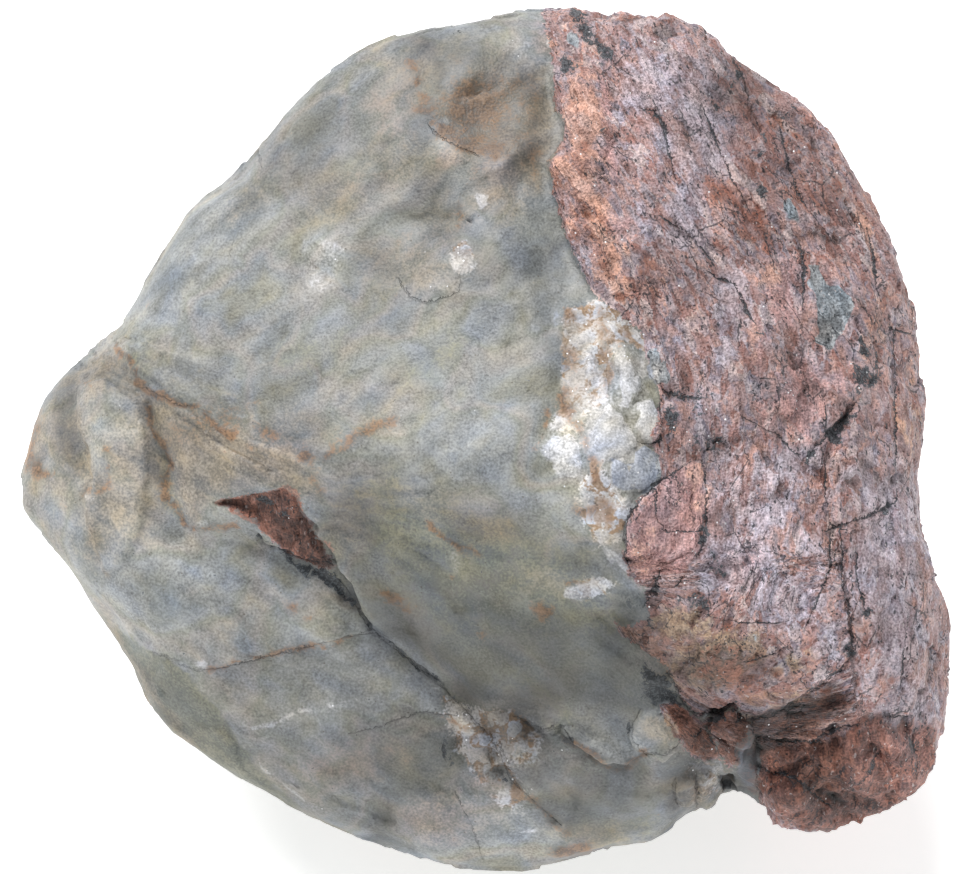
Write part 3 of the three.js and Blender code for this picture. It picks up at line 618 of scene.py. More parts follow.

# Patches that are lighter or darker than the stone round them, and by what share: partly the
# stone's own tone, partly painted light and shade on faces turned to or from the light, under
# ledges and in the gap between the hump and the lobe.
PAINTED_SHADING_AND_TONE = (
    Area(((-95.9, 8.6), (-92, 12.5), (-88.4, 11.2), (-86.7, -9.5), (-89.8, -10.3), (-94.2, -7.3),
          (-95.5, -0.7)), 1.2, -0.08),
    Area(((-87, 10), (-83, 12), (-78, 9), (-74, 2), (-73, -10), (-80, -12), (-87, 2)), 2, 0.26),
    Area(((-86, -7), (-81, -6), (-75, -14), (-71, -27), (-76, -29), (-81, -20)), 2.5, 0.14),
    Streak(((-73, 6.4), (-70.8, 1.5), (-68.6, -13.9), (-64.7, -19.6)), 1.4, -0.22),
    Area(NOSE_HOLLOW, 1.2, -0.16),
    Streak(NOSE_LINE, 0.5, -0.12),
    Area(LOWER_BEVEL, 0.7, -0.3),
    Area(((-61.6, -51.9), (-42.9, -47.7), (-29.7, -44), (-23.8, -43.1), (-8.8, -55.7), (-7, -58.3),
          (-30.8, -61.4), (-52.8, -67.8), (-58.1, -59.6)), 0.5, -0.1),
    Area(((-52.1, -68.2), (-39.6, -63.1), (-22, -59.2), (-8.8, -60.5), (-5.3, -67.8),
          (-3.1, -77.7), (-17.6, -79.9), (-22, -90.9), (-33, -86), (-44.9, -77.7)), 0.6, -0.2),
    Area(((-26.8, -84.7), (-19.4, -81.2), (-12.3, -84.7), (-13.2, -91.3), (-22, -90.9)), 1, -0.22),
    Area(((-19.4, -79.9), (-5.3, -77.2), (-0.9, -86.5), (0.4, -93.9), (-12.3, -92.6),
          (-17.6, -86.5)), 0.5, 0.1),
    Area(((-4.8, -77.2), (13.2, -82.5), (18, -86.5), (13.2, -92.2), (1.3, -93.9),
          (-0.9, -86.5)), 0.5, 0.26),
    Area(((20, -72.4), (46.2, -72.4), (48.4, -77.7), (35.2, -86), (22, -90.9),
          (18.9, -85.6)), 1, -0.2),
    Area(((11, -23), (26, -24), (31, -28), (30, -32), (20, -32), (12, -28)), 2, -0.16),
    Area(((-31, -24), (-25, -27), (-11, -47), (-18, -46), (-25, -38)), 1.5, -0.14),
    Area(((-13, -27), (4, -34), (24, -38), (35, -49), (35, -58), (18, -56), (-2, -45)), 5, -0.1),
    Area(((-39.8, 43.3), (-33, 44.7), (-28.2, 42.5), (-29, 36.7), (-34.8, 32.3),
          (-38.7, 34.5)), 0.8, 0.13),
    Area(((-19.4, 39.4), (-13.2, 42), (-2.2, 41.1), (0.4, 37.2), (-2.2, 31.9), (-11, 29.7),
          (-16.7, 32.8)), 1, 0.06),
    Area(((-10, 83), (-2, 86), (9, 83), (14, 76), (13, 68), (6, 61), (-1, 62), (-7, 68),
          (-11, 74)), 2, -0.22),
    Area(((-10.1, 65.3), (-6.2, 66.2), (-4, 63.1), (-6.6, 60.1), (-9.2, 60.9)), 0.7, 0.22),
    Area(((4.4, 71.5), (8.8, 74.1), (11, 68.9), (7, 63.1), (4, 65.3)), 0.8, 0.12),
    Area(((-0.4, 53.9), (1.8, 54.8), (0.9, 49.5), (-2.2, 45.1), (-2.6, 49.1)), 0.6, 0.22),
    Streak(((-11.7, 85.1), (-9.7, 81.6), (-8.8, 77.7), (-10.1, 74.1)), 0.7, -0.22),
    Area(((15, 30), (19, 32), (16, 8), (13, 4), (14, 17)), 1.5, -0.16),
    Area(TOP_CRYSTAL, 0.5, 0.16),
    Area(GREY_CRYSTAL, 0.5, -0.16),
    Area(EDGE_CRYSTAL, 0.5, -0.1),
    Area(GRANITE_BITS[0].outline, 0.5, 0.12),
    *ovals(
        (26, -56, 13, 7, -0.14, -10), (7, -42, 13, 7, -0.24, -25), (-31, 65, 15, 13, -0.22, 30),
        (-64, 19, 11, 6, -0.14, 30), (92, -73, 7, 6, 0.3), (66, 15, 9, 11, -0.12),
        (-57, 11, 22, 5, -0.26, 10), (-62, 30, 5, 13, 0.07, 20), (22, -43, 10, 7, -0.2),
        (19, -4, 6, 9, 0.55), (29, 10, 7, 7, 0.34), (21, -15, 5, 5, 0.24),
    ),
    # broad light and shade
    Area(((-30, -28), (-24, -29), (-2, -51), (13, -61), (18, -68), (4, -68), (-13, -50),
          (-22, -44), (-28, -35)), 4, -0.26),
    Area(((33.9, -64), (35.2, -60.9), (38.7, -60.1), (44, -65.6), (43.1, -67.8), (40, -69.3),
          (36.1, -68.6), (33.9, -66.9)), 0.5, 0.02),
    Area(((17.6, -63.6), (25.1, -68.9), (28.8, -70.4), (32.6, -70.6), (37.4, -68), (37.4, -69.7),
          (32.6, -73.3), (28.8, -73), (20.2, -68.4)), 0.7, -0.42),
    Area(((56, -62), (62, -61), (77, -54), (82, -56), (84, -59), (61, -71), (61, -78),
          (56, -78)), 1.6, -0.42),
    Area(((48, 82), (57, 83), (68, 72), (78, 65), (85, 52), (81, 44), (70, 43), (64, 46), (51, 63),
          (48, 72)), 4, -0.18),
    Area(((38, 42), (51, 44), (60, 38), (62, 26), (57, 21), (48, 24), (40, 30)), 5, -0.1),
    Area(((59, -61), (88, -59), (100, -61), (103, -73), (92, -86), (70, -89),
          (59, -80)), 3, -0.22),
    Area(((65, -59), (84, -54), (88, -58), (81, -61), (68, -64)), 2, -0.18),
    *ovals(
        (-12, 58, 5, 15, -0.28), (-13, 78, 4, 9, -0.26), (-3.3, 84.3, 7.9, 3.5, -0.24),
        (11, 65, 5, 13, -0.22), (4, 60, 5, 7, -0.2), (4, 74, 4, 5, -0.1), (-32, 38, 6, 6, 0.18),
        (13, 47, 4, 5, 0.2), (74.4, 38.5, 4, 3.5, 0.2), (92.4, -18.3, 3.5, 8.8, 0.2),
        (40, -49, 4, 4, -0.28), (-4, -57, 4.4, 3.5, -0.26), (4, 38, 12, 10, -0.26),
        (-85, 12, 11, 6, -0.34), (-81, -23, 11, 15, 0.16, -25), (-18, -27, 13, 9, -0.2, -30),
        (-29, -18, 7, 9, -0.2, -30), (-15, -43, 10, 6, -0.26, -20), (-5, -54, 14, 10, -0.26, -30),
        (13, -56, 13, 9, -0.16, -10), (35, -45, 7, 11, -0.14, -30), (31, -58, 9, 7, -0.24),
        (46, -69, 7, 6, -0.5), (2, -71, 13, 8, -0.25), (9, -71, 11, 7, -0.18, -30),
        (18, -82, 7, 4, -0.32), (-48, 68, 13, 18, -0.1, 45), (-21, 32, 9, 11, -0.24),
        (-40, 52, 13, 13, -0.08), (-9, 90, 13, 6, -0.22, 10), (35, 26, 6, 5, -0.18),
        (13, -57, 7, 4, -0.4), (-18, -69, 13, 7, -0.2, -10), (-20, -83, 8, 5, -0.22, 20),
        (-7, 51, 7, 7, -0.3), (-73, -34, 13, 11, 0.12), (58, 77, 7, 7, -0.3, 20),
        (46, 72, 6, 13, -0.12), (59, 9, 7, 7, -0.22), (46, 37, 7, 7, -0.14), (48, -3, 11, 6, -0.1),
        (24, -80, 20, 5, -0.12, -5), (48, -78, 7, 5, -0.42), (37, -76, 7, 4, -0.1),
        (29, -67.1, 5.3, 1.8, 0.2, -10), (46, -56, 7, 7, -0.34), (34, -43, 7, 8, -0.42, -30),
        (56, -68, 9, 9, -0.34), (75, -78, 10, 6, -0.26), (96, -69, 7, 9, 0.26),
        (68, -36, 13, 13, 0.34), (86, -54, 7, 6, 0.16), (37, 70, 9, 13, 0.16),
        (57, -27, 11, 7, 0.12), (46, -1, 7, 6, -0.2), (70, 36, 9, 7, -0.1), (33, 37, 7, 5, -0.12),
        (82.7, -73.7, 4.4, 2.9, 0.3, -20), (67.3, -77.2, 3.1, 2.2, 0.3, -15),
        (62, -14, 13, 9, 0.1), (88, -36, 9, 15, 0.08), (-66, -14, 4, 4, 0.42),
        (-66, -32, 5, 5, 0.28), (-40, 3, 6, 4, -0.34), (-28, -16, 7, 6, -0.2),
        (2, -21, 8, 6, -0.28, -20), (1, -4, 9, 5, 0.2), (-1, 12, 8, 4, 0.16),
        (-48, 31, 6, 5, 0.16), (-56, 47, 4, 5, 0.18), (-22, 39, 4, 5, -0.2),
        (38.7, 13.4, 2.6, 4, 0.5), (22, 3.3, 2.6, 4.4, -0.22), (30, -14, 4, 4, 0.24),
        (75, -36, 4, 7, 0.34), (70.4, -5.1, 8.4, 3.5, -0.2), (54, -50, 12, 6, -0.16),
        (-58, 4, 13, 4, -0.16, 22), (77, -66, 15, 4, 0.26, -6), (65.1, -74.4, 3.5, 4, 0.3),
        (84, 3.7, 3.5, 5.3, -0.2), (84, -59, 5, 5, 0.36), (-5.5, -75.9, 6.2, 3.5, 0.16),
        (13.2, -84.7, 5.3, 3.1, -0.26), (91, -38, 6, 11, -0.12), (87, 30, 5, 13, -0.1, 15),
    ),
)

WASHES: dict[Tint, tuple[Mark, ...]] = {}
WASHES[Tint.TAN] = (
    Streak(NOSE_LINE, 0.9, 0.9),
    Area(((-80, 19), (-73, 11), (-54, 1), (-40, -3), (-35, -9), (-35, -15), (-48, -11), (-58, -13),
          (-62, -19), (-67, -16), (-71, -1), (-81, 14)), 4, 0.95),
    Streak(((-83.6, -35.9), (-72.6, -57.9), (-61.6, -70.2)), 1.6, 0.8),
    *ovals(
        (-84, -8.6, 2.2, 1.8, 0.8), (-86.7, 11.4, 7.5, 3.1, 0.8, 10), (-91, -1, 10, 13, 0.62),
        (-7, 51, 9, 9, 0.5), (52, -49, 13, 7, 0.95, 10), (44, -41, 9, 5, 0.8),
        (66, -49, 9, 4, 0.6, 10), (94.6, -2.9, 3.1, 17.6, 0.45), (66, -57.9, 11, 3.1, 0.6),
        (24, 39, 4, 11, 0.45), (57.2, -62.3, 6.6, 3.1, 0.5), (-84, 14.3, 6.6, 3.5, 0.9, 35),
        (-78, -10, 10, 20, 0.75, -20), (11, 68, 6, 15, 0.95), (2, -20, 8, 6, 0.6),
        (2, 72, 13, 13, 0.9, 20), (-11, 81, 13, 7, 0.6, 15), (-18, 63, 11, 7, 0.55, 30),
        (4, 54, 9, 9, 0.65), (-18, 37, 11, 7, 0.6), (-51, 52, 11, 5, 0.45, 45),
        (-32, 51, 10, 6, 0.6, 20), (-10.1, 35.4, 5.7, 3.5, 0.6), (-40, 4, 9, 5, 0.55),
        (-29, -18, 6, 10, 0.6, -30), (-11, -15, 13, 5, 0.5, -20),
        (17.6, -32.6, 13.2, 3.5, 0.45, -10), (-97.7, -1.8, 3.5, 9.7, 0.9),
        (-92, -23, 9, 4, 0.5, -55), (-9, -83, 9, 7, 0.5), (46, -78, 6, 5, 0.8),
        (24.2, -87.6, 13.2, 3.5, 0.6, -8), (21.1, 16.5, 3.5, 11, 0.8), (26.4, 12.5, 3.1, 5.7, 0.8),
        (24.2, -15, 4.8, 3.1, 0.7), (39, -65, 5, 4, 0.75), (47, -77, 5, 4, 0.7),
        (-6.6, 52.1, 3.5, 11, 0.5, -20),
    ),
)
WASHES[Tint.RUST] = (
    Streak(((-79.6, 19.8), (-76.8, 14.7), (-73.3, 10.6), (-66.2, 6.8), (-63.8, 6.8), (-59.2, 2.6),
            (-54.6, 0.7)), 0.9, 1),
    Streak(((-73.3, 6.4), (-71.7, 1.3), (-69.5, -2.4), (-68.6, -6.2), (-69.7, -9), (-68.9, -13.4),
            (-67.1, -16.7), (-64.5, -18.9), (-61.2, -20), (-52.4, -20)), 0.8, 0.95),
    Streak(((-13.6, 73.3), (-10.6, 69.7), (-2.6, 64), (0.9, 62.7), (4.4, 63.6)), 1.2, 1),
    Streak(((-15.4, 82.5), (-10.6, 71.5)), 1, 0.8),
    Streak(((7.9, 69.7), (9.7, 65.8), (6.2, 62), (3.1, 61.4)), 0.8, 0.7),
    Streak(((0, 58.7), (-3.1, 54.3), (-6.2, 46.4)), 0.9, 0.65),
    Streak(((-33.2, -5.5), (-29.7, -1.1), (-25.5, 2.2), (-18.9, 3.7)), 1.5, 0.75),
    Streak(((-37.4, -2.9), (-37, -8.4), (-35.6, -12.8)), 0.9, 0.7),
    Streak(((-10.8, -18.3), (0, -27.5)), 0.8, 1),
    Streak(((-22.2, -33.7), (-19.8, -35.9), (-15.4, -38.1)), 0.7, 0.85),
    Streak(((18.9, 10.3), (19.4, 5.5), (23.3, -1.5), (26, -9.9)), 1.3, 0.95),
    Streak(((26.4, 27.9), (27.7, 12.5)), 0.9, 0.7),
    Streak(((14.1, 5.9), (14.5, -0.7), (13.6, -2.9)), 0.9, 0.75),
    Streak(((21.6, -15.6), (24.6, -16.5), (27.3, -15.6), (29, -18.3)), 1.3, 0.8),
    Streak(((-60.5, -51.5), (-28.6, -44)), 0.6, 0.95),
    Streak(((16.7, -90.4), (20.9, -91.3), (25.1, -90.4)), 1.3, 1),
    Streak(((11, -79.9), (18.9, -86.9)), 1.2, 0.7),
    Streak(((-97, 5.5), (-99.7, -4.2), (-97.7, -7.3), (-94.6, -8.1)), 1.2, 0.9),
    Streak(((-82.1, -2), (-81.4, -5.5), (-83.6, -10.3), (-85.8, -12.5)), 0.9, 0.75),
    Streak(((-8.8, -61.2), (-2.6, -64.5)), 0.9, 0.6),
    Streak(((20.2, -67.1), (25.1, -70.6), (28.8, -72.2), (32.6, -72.4), (35.4, -70.8),
            (37.8, -68.4)), 1, 0.8),
    Streak(((-88, -33.7), (-84, -41.4), (-81, -45.8)), 0.9, 0.5),
    *ovals(
        (-2.6, 65.3, 3.1, 2.4, 1), (-1, 73, 7, 7, 0.95, 20), (11, 65.3, 3.1, 7.5, 0.55),
        (7, 75, 6, 6, 0.55), (-60, 3, 11, 4, 0.5, 25), (-38.9, -3.3, 2, 1.8, 0.9),
        (-5.3, -29.9, 1.1, 1.1, 0.8), (14.3, -38.1, 3.1, 1.5, 0.95, -35),
        (1.3, -43.3, 0.9, 1.8, 0.9), (21.1, -32.1, 1.5, 0.9, 0.9), (19.8, 26.2, 1.8, 2, 0.85),
        (20.2, 16.5, 2, 2.6, 0.8), (27.7, 17.4, 1.8, 3.5, 0.85), (28.2, 14.3, 1.3, 2.2, 0.9),
        (32.1, 21.3, 1.1, 2.2, 0.7, -20), (40.9, -4, 0.9, 2.2, 0.9), (-41.4, -37.2, 1.1, 1.1, 0.8),
        (-38.3, -40.7, 1.1, 1.1, 0.7), (-86.2, 11.9, 1.3, 0.9, 0.7),
        (-16.7, 31, 2.6, 0.9, 0.6, 20), (-2.6, 40.7, 0.9, 0.9, 0.8), (7, 7.9, 2.6, 0.7, 0.7, 20),
        (2.2, 5.5, 1.8, 0.7, 0.6, 20), (-46.2, 1.1, 2.2, 1.8, 0.6), (-50.6, -2.9, 2, 1.3, 0.45),
        (35.2, 32.3, 3.1, 2, 0.7), (40, 38.5, 2.6, 4.8, 0.75), (55, -73.3, 1.8, 2.6, 0.5),
    ),
)
WASHES[Tint.OLIVE] = (
    Streak(((-71.3, 5.5), (-68.6, -13.9), (-66.4, -17.4)), 1.6, 0.8),
    Area(LOWER_BEVEL, 1, 1),
    Area(((-31, -14), (-9, -14), (18, -24), (31, -36), (35, -47), (18, -45), (0, -45), (-15, -36),
          (-26, -27)), 9, 0.78),
    Streak(((-17.6, -18.3), (0, -30.4), (17.6, -44.7)), 2.4, 0.7),
    Streak(((-8.8, -16.1), (13.2, -29.3), (26.4, -38.1)), 2, 0.6),
    Streak(((-13.2, -35.9), (4.4, -49.1), (17.6, -57.9)), 2.4, 0.6),
    Streak(((-35.2, 16.9), (-23.8, 27.9), (-17.6, 32.3)), 1.6, 0.45),
    *ovals(
        (-77, 16.5, 2.6, 2, 0.7, 40), (-50.6, -77.7, 7.9, 3.1, 0.7, -25),
        (-28.6, -89.8, 6.6, 2.2, 0.7, -15), (-23, -14, 9, 9, 0.5), (18, -64, 9, 4, 0.45),
        (-9, 17, 13, 5, 0.45, 35), (-40, 17, 7, 9, 0.45, 30), (33, -86.5, 13.2, 3.5, 0.5, 15),
        (-39.6, -9.5, 3.5, 2.2, 0.5),
    ),
)
WASHES[Tint.MILK] = (
    Area(((19, 28), (26, 30), (31, 28), (36, 24), (38, 16), (40, 8), (38, 0), (39, -7), (31, -16),
          (31, -23), (26, -23), (12, -3), (11, 3), (17, 7), (18, 17)), 2.5, 0.56),
    Area(((34.8, 7.7), (37.4, 8.8), (39.2, 5.5), (39.8, 1.1), (37.4, -1.3), (35, -0.7),
          (34.1, 3.3)), 0.4, 1.2),
    Area(((22.7, 4.6), (29, 7.3), (34.3, -0.7), (33, -5.5), (28.6, -6.4), (25.5, -3.3)), 0.4, 0.9),
    Area(((25.5, -23.1), (29, -22.7), (32.6, -27.1), (32.1, -29.7), (28.6, -27.5)), 0.5, 0.9),
    Area(LONG_CRYSTAL, 0.5, 1.2),
    Area(((23.3, 18.7), (25.1, 18.7), (26.2, 14.7), (24.9, 11.2), (23.3, 14.3)), 0.5, 1.1),
    Area(((15.4, -0.7), (19.8, 0.2), (22, -4.2), (21.1, -8.6), (18, -7.3), (15.4, -4.2)), 1, 1.3),
    Area(((29, -5.9), (31.7, -5.5), (33.4, -10.3), (30.4, -12.1), (28.6, -9)), 0.6, 1.1),
    Area(((-16.7, 38.5), (-13.2, 41.6), (-7.5, 42.5), (-2.2, 41.1), (-0.9, 38.5), (-2.2, 33.7),
          (-6.2, 30.6), (-12.3, 30.1), (-15.8, 33.2)), 1.2, 0.42),
    Area(((-6.6, 41.1), (-3.5, 42.7), (-1.5, 41.1), (-1.3, 37.6), (-3.5, 35.4),
          (-6.2, 37.6)), 0.6, 1),
    Area(((-38.7, 42), (-35.2, 44.2), (-30.4, 44.7), (-28.2, 42), (-31.2, 34.1), (-34.8, 31.5),
          (-37.4, 33.7), (-38.7, 37.6)), 0.8, 0.52),
    Streak(((-50.6, -64.5), (-39.6, -60.7), (-22, -57.9)), 0.7, 0.85),
    Streak(((-51.5, -68.4), (-48, -72.8), (-41.8, -77.7), (-35.2, -81.6)), 0.8, 0.7),
    *ovals(
        (35.2, -9.9, 2.2, 1.8, 1.1), (23.8, 22.2, 1.5, 1.1, 0.9), (22, 25.3, 1.1, 2, 0.9),
        (36.3, 14.7, 1.1, 2, 1, -20), (24.2, 8.1, 2.6, 2, 0.9, 30), (17.6, 2.6, 3.1, 1.8, 0.8),
        (32.1, -15.6, 2.6, 2, 0.8), (27, -1, 7, 7, 0.8), (-31.7, 42, 2.2, 1.8, 0.7),
        (0.4, 52.1, 1.1, 3.1, 0.9, -35), (8, 85, 5, 4, 0.55), (16.1, 86.2, 2.6, 3.1, 0.7),
        (-83.4, -3.3, 0.9, 2, 0.6), (-60.3, -18.3, 2.6, 2.2, 0.6), (-57.2, -13.9, 2.2, 1.8, 0.5),
        (-42, 2.6, 1.8, 0.9, 0.7), (24.2, -33.2, 5.3, 2.2, 0.8, 10), (20.7, -34.1, 2.2, 1.3, 0.8),
        (-5.5, -27.1, 4.8, 3.5, 0.5, -30), (6.8, -71.5, 1.5, 1.1, 1), (10.1, -68, 1.3, 1.1, 0.9),
        (5.9, -79, 2, 1.8, 0.9), (-2.9, -65.6, 2.2, 1.8, 0.9), (9.7, -86.7, 2, 1.1, 1.1, 25),
        (21.1, -69.3, 1.5, 0.9, 0.8), (52.6, -72.8, 1.3, 1.1, 1.1), (-61.6, -50.2, 2.6, 1.3, 0.8),
        (-2.6, 12.5, 11, 2.2, 0.45, 38), (-17.6, 5.9, 10.1, 2, 0.5, 30),
        (-2.2, 2.6, 13.2, 3.1, 0.45, 10), (17.6, 30.1, 1.8, 8.8, 0.5, -32),
        (48.4, 77.4, 0.9, 1.1, 0.6), (94.6, -20.5, 3.5, 5.7, 0.75, 10),
        (-85.8, -13.9, 1.1, 4, 0.6), (-79.2, 8.1, 3.1, 3.1, 0.45),
    ),
)
# Painted shade over the quartz's lower face below the crest and in its hollows, and darker grey
# patches.
WASHES[Tint.SHADE] = (
    Area(((-24, -23), (-9, -24), (9, -30), (24, -38), (33, -45), (38, -58), (35, -63), (0, -54),
          (-11, -47), (-21, -36)), 9, 0.66),
    *ovals(
        (26, -52, 15, 7, 0.62, -15), (37, -56, 9, 6, 0.8, -20), (33.4, -36.7, 3.5, 3.1, 1),
        (-91.1, 1.5, 2.9, 7.9, 0.5, 5), (-84, -27.1, 1.8, 8.8, 0.5, -18),
        (15.2, 14.7, 2, 11.4, 0.7, 4), (-18, 49, 6, 4, 0.6, 20), (18, 43, 5, 13, 0.45, -20),
        (-7, -36, 11, 6, 0.45, -30), (-26, -38, 7, 4, 0.6, -40), (-68, -58, 7, 4, 0.6, -45),
        (18, -76, 13, 6, 0.5, -10), (29, -80, 11, 4, 0.5), (58.3, -72.8, 2.2, 4.8, 0.9),
    ),
)
WASHES[Tint.BLUSH] = (
    *ovals(
        (-18, 72, 10, 9, 0.6, 20), (4, 61, 7, 11, 0.8), (-11, 41, 9, 7, 0.5),
        (-2, -80, 13, 11, 0.55), (-7, 62, 4, 2.6, 0.9), (6.2, 63.6, 4.8, 3.1, 0.85, 30),
        (-22, 56, 9, 5, 0.5, 10), (-29, -71, 15, 7, 0.6, 8), (-9, -84, 11, 7, 0.7),
        (-4.4, 47.7, 3.5, 11, 0.5, -30), (-63.8, -33.7, 2.6, 3.1, 0.5), (-46, -3, 9, 6, 0.6),
        (14, 87, 4, 5, 0.8), (-55, 1.5, 5.3, 2.6, 0.6, 20), (-85.4, -22.7, 1.3, 5.7, 0.6, -12),
        (4, -67, 9, 4, 0.5, -10),
    ),
)
# Black mica flecks and dark spots, and painted shadow: the black band in the crack under the red
# chip and the dark line along the step below it.
WASHES[Tint.SOOT] = (
    Area(((-51.3, -19.6), (-45.8, -24), (-39.6, -27.7), (-35.6, -28.8), (-32.3, -28.8),
          (-26.4, -39.8), (-32.1, -34.1), (-45.8, -25.1), (-49.1, -22.2)), 0.4, 1),
    Streak(((-24, -42.5), (-10.6, -52.8), (-7, -56.3)), 0.35, 0.75),
    Area(((35, -48), (41, -52), (46, -60), (37, -58), (34, -56), (35, -52)), 2, 0.95),
    Streak(((20.2, 93.5), (27.3, 84.7)), 1.6, 0.85),
    Streak(((83.2, 22), (84.9, 19.1)), 0.9, 1),
    Area(((84.3, 14.7), (87.3, 18.7), (88.4, 16.1), (86.2, 14.5)), 0.7, 1),
    Area(((76.6, 1.5), (81.6, 6.2), (81.2, 2.9), (78.8, -1.1), (77.4, -0.7)), 0.6, 1),
    *ovals(
        (33.4, -37.2, 2.9, 1.8, 0.5), (19.8, 81.6, 2.2, 1.8, 0.75),
        (27.7, 82.5, 1.8, 2.6, 0.55, -40), (26.4, 67.5, 1.1, 1.3, 0.7),
        (57.2, 79, 1.3, 3.1, 0.9, -25), (52.4, 72.8, 1.3, 1.1, 0.9),
        (67.8, 71.1, 2.6, 1.1, 0.7, 25), (61.2, 63.6, 0.9, 2.6, 0.8),
        (61.6, 53.9, 1.1, 2, 0.95, 20), (43.1, 9, 2.2, 1.3, 0.8, 20),
        (46.2, 7.7, 3.1, 1.1, 0.7, 10), (41.8, 3.7, 1.3, 3.1, 0.8), (49.7, -1.1, 4.8, 2.6, 0.6),
        (47, 7, 6, 4, 0.45), (89.1, -15.4, 2.6, 1.1, 1, 15), (80.5, 4.2, 1.5, 0.9, 1, 40),
        (72.4, -4, 1.1, 1.1, 0.9), (38.5, -32.8, 1.3, 2.4, 0.85, 25),
        (48.6, -35.4, 3.1, 1.5, 0.65, -30), (49.7, -22.7, 1.1, 2, 0.85),
        (51.5, -28.4, 1.1, 3.1, 0.75, 20), (84.9, -38.5, 1.5, 1.3, 0.9),
        (81.4, -47.3, 1.8, 2, 0.85, 40), (58.3, -32.8, 2.6, 1.1, 0.55),
        (46.2, -35.9, 4.4, 2.2, 0.5, -30), (37, -39.4, 1.1, 1.1, 0.7),
        (32.3, -63.8, 0.7, 1.5, 1, 15), (53.2, -61.4, 3.5, 0.9, 1, 15),
        (54.1, -76.3, 1.3, 1.5, 1.1), (-8.6, -68.4, 0.9, 1.8, 0.8), (-7, -71.1, 0.7, 1.1, 0.8),
        (11.9, -64, 1.3, 0.9, 0.7), (20.2, -66.7, 0.7, 1.1, 0.9), (5.5, -75.5, 0.9, 0.7, 0.7),
        (-4, -58.3, 2.6, 1.1, 0.5, -40), (-47.1, -13.9, 2.6, 0.9, 0.7, -10),
        (-44, -17.2, 2.6, 0.7, 0.6, -25), (-34.8, 31.5, 0.5, 0.4, 1.1), (-26.6, 51.7, 0.5, 0.4, 1),
        (-4.8, 89.5, 1.1, 0.9, 0.9), (38.3, 71.1, 2.6, 0.7, 0.6, -20),
        (61.6, 23.5, 1.1, 1.3, 0.55), (84.9, 12.8, 3.1, 2.2, 0.8), (68.6, -67.5, 4.4, 0.9, 0.6),
        (56.1, -59, 1.3, 1.1, 0.6),
    ),
)
WASHES[Tint.BRICK] = (
    Area(GRANITE_BITS[0].outline, 0.8, 1.15),
    Area(((50, 82), (57, 82), (68, 72), (77, 65), (84, 52), (80, 46), (70, 45), (64, 48), (52, 63),
          (49, 72)), 5, 0.56),
    Area(GRANITE_BITS[1].outline, 0.8, 0.45),
    Area(GRANITE_BITS[2].outline, 0.8, 0.85),
    Area(GRANITE_BITS[3].outline, 0.8, 0.85),
    Area(((58, -62), (77, -54), (82, -56), (84, -59), (68, -67)), 1.5, 0.8),
    Area(((59, -65), (68, -68), (88, -62), (94, -63), (99, -64), (102, -71), (97, -80), (88, -86),
          (75, -88), (66, -84), (60, -77)), 5, 1.25),
    Streak(((49.5, 56.5), (55.4, 51), (60.7, 47.3), (63.8, 42.2)), 2.2, 0.8),
    Streak(((56.1, 46.9), (59.8, 43.3), (62, 39.4)), 1.6, 0.7),
    *ovals(
        (-39.6, -22.7, 4.4, 1.3, 0.7, -50), (46.2, 91.7, 13.2, 2.6, 0.55, 5),
        (56, -51, 12, 6, 0.7), (33.4, 92.2, 3.5, 1.3, 1), (40.5, 91.7, 3.1, 1.1, 0.8),
        (47.1, 93.1, 3.5, 1.1, 0.7), (54.6, -40.3, 1.8, 2.6, 0.75), (46.2, -5.1, 1.8, 1.5, 0.9),
        (53.7, -35.9, 2.6, 1.8, 0.5), (22.4, 64, 2.2, 1.8, 0.75), (17.2, 55.2, 1.5, 2.6, 0.75),
        (23.3, 49.5, 2.2, 1.1, 0.7, -30), (20.7, 43.8, 1.5, 2.2, 0.8, -30),
        (27.3, 38.5, 2.6, 1.1, 0.7, 10), (29.9, 30.6, 3.5, 1.1, 0.7), (90, -56, 6, 5, 0.5),
        (61.6, -57.9, 6.6, 2.2, 0.5), (37.4, 36.7, 3.1, 5.7, 0.55), (73.7, 63.1, 2.6, 5.3, 0.5),
        (48.4, -52.4, 2.2, 1.3, 0.5), (57.2, -55.7, 5.3, 1.8, 0.5, -10),
    ),
)
WASHES[Tint.EMBER] = (
    Area(((16, 61), (19, 68), (18, 74), (22, 80), (26, 79), (29, 52), (35, 32), (35, 28), (30, 29),
          (26, 32), (17, 53)), 5, 0.8),
    Area(GRANITE_BITS[0].outline, 0.8, 1.3),
    Area(GRANITE_BITS[1].outline, 0.8, 0.9),
    Area(GRANITE_BITS[2].outline, 0.8, 0.9),
    Area(GRANITE_BITS[3].outline, 0.8, 0.9),
    *ovals(
        (22, 70, 4, 11, 1.1), (18.7, 56.5, 2.6, 5.3, 0.95), (26.4, 52.1, 3.5, 3.5, 0.8),
        (14, 88, 5, 5, 0.5), (-37, -23.8, 4.8, 2.6, 1.1, -35), (72, -71, 11, 10, 0.9),
        (37.8, -44.7, 2.6, 4, 0.6, -30), (48, -10, 4, 7, 0.6), (35.2, -22.7, 3.5, 4, 0.55),
        (40, 36, 4, 5, 0.5), (67.1, 69.7, 2.2, 3.1, 0.6), (70, 55, 5, 5, 0.5),
        (63.8, 35.6, 2.6, 4, 0.7), (60.5, 20.2, 1.8, 5.3, 0.6), (86, 46, 4, 11, 0.5, 10),
        (86, 24, 4, 9, 0.5), (93.5, 8.1, 2.6, 13.2, 0.45), (53, -50, 13, 5, 0.45, 10),
        (72.6, -71.1, 8.8, 3.1, 0.5), (35.2, -27.1, 4, 3.1, 0.5),
    ),
)
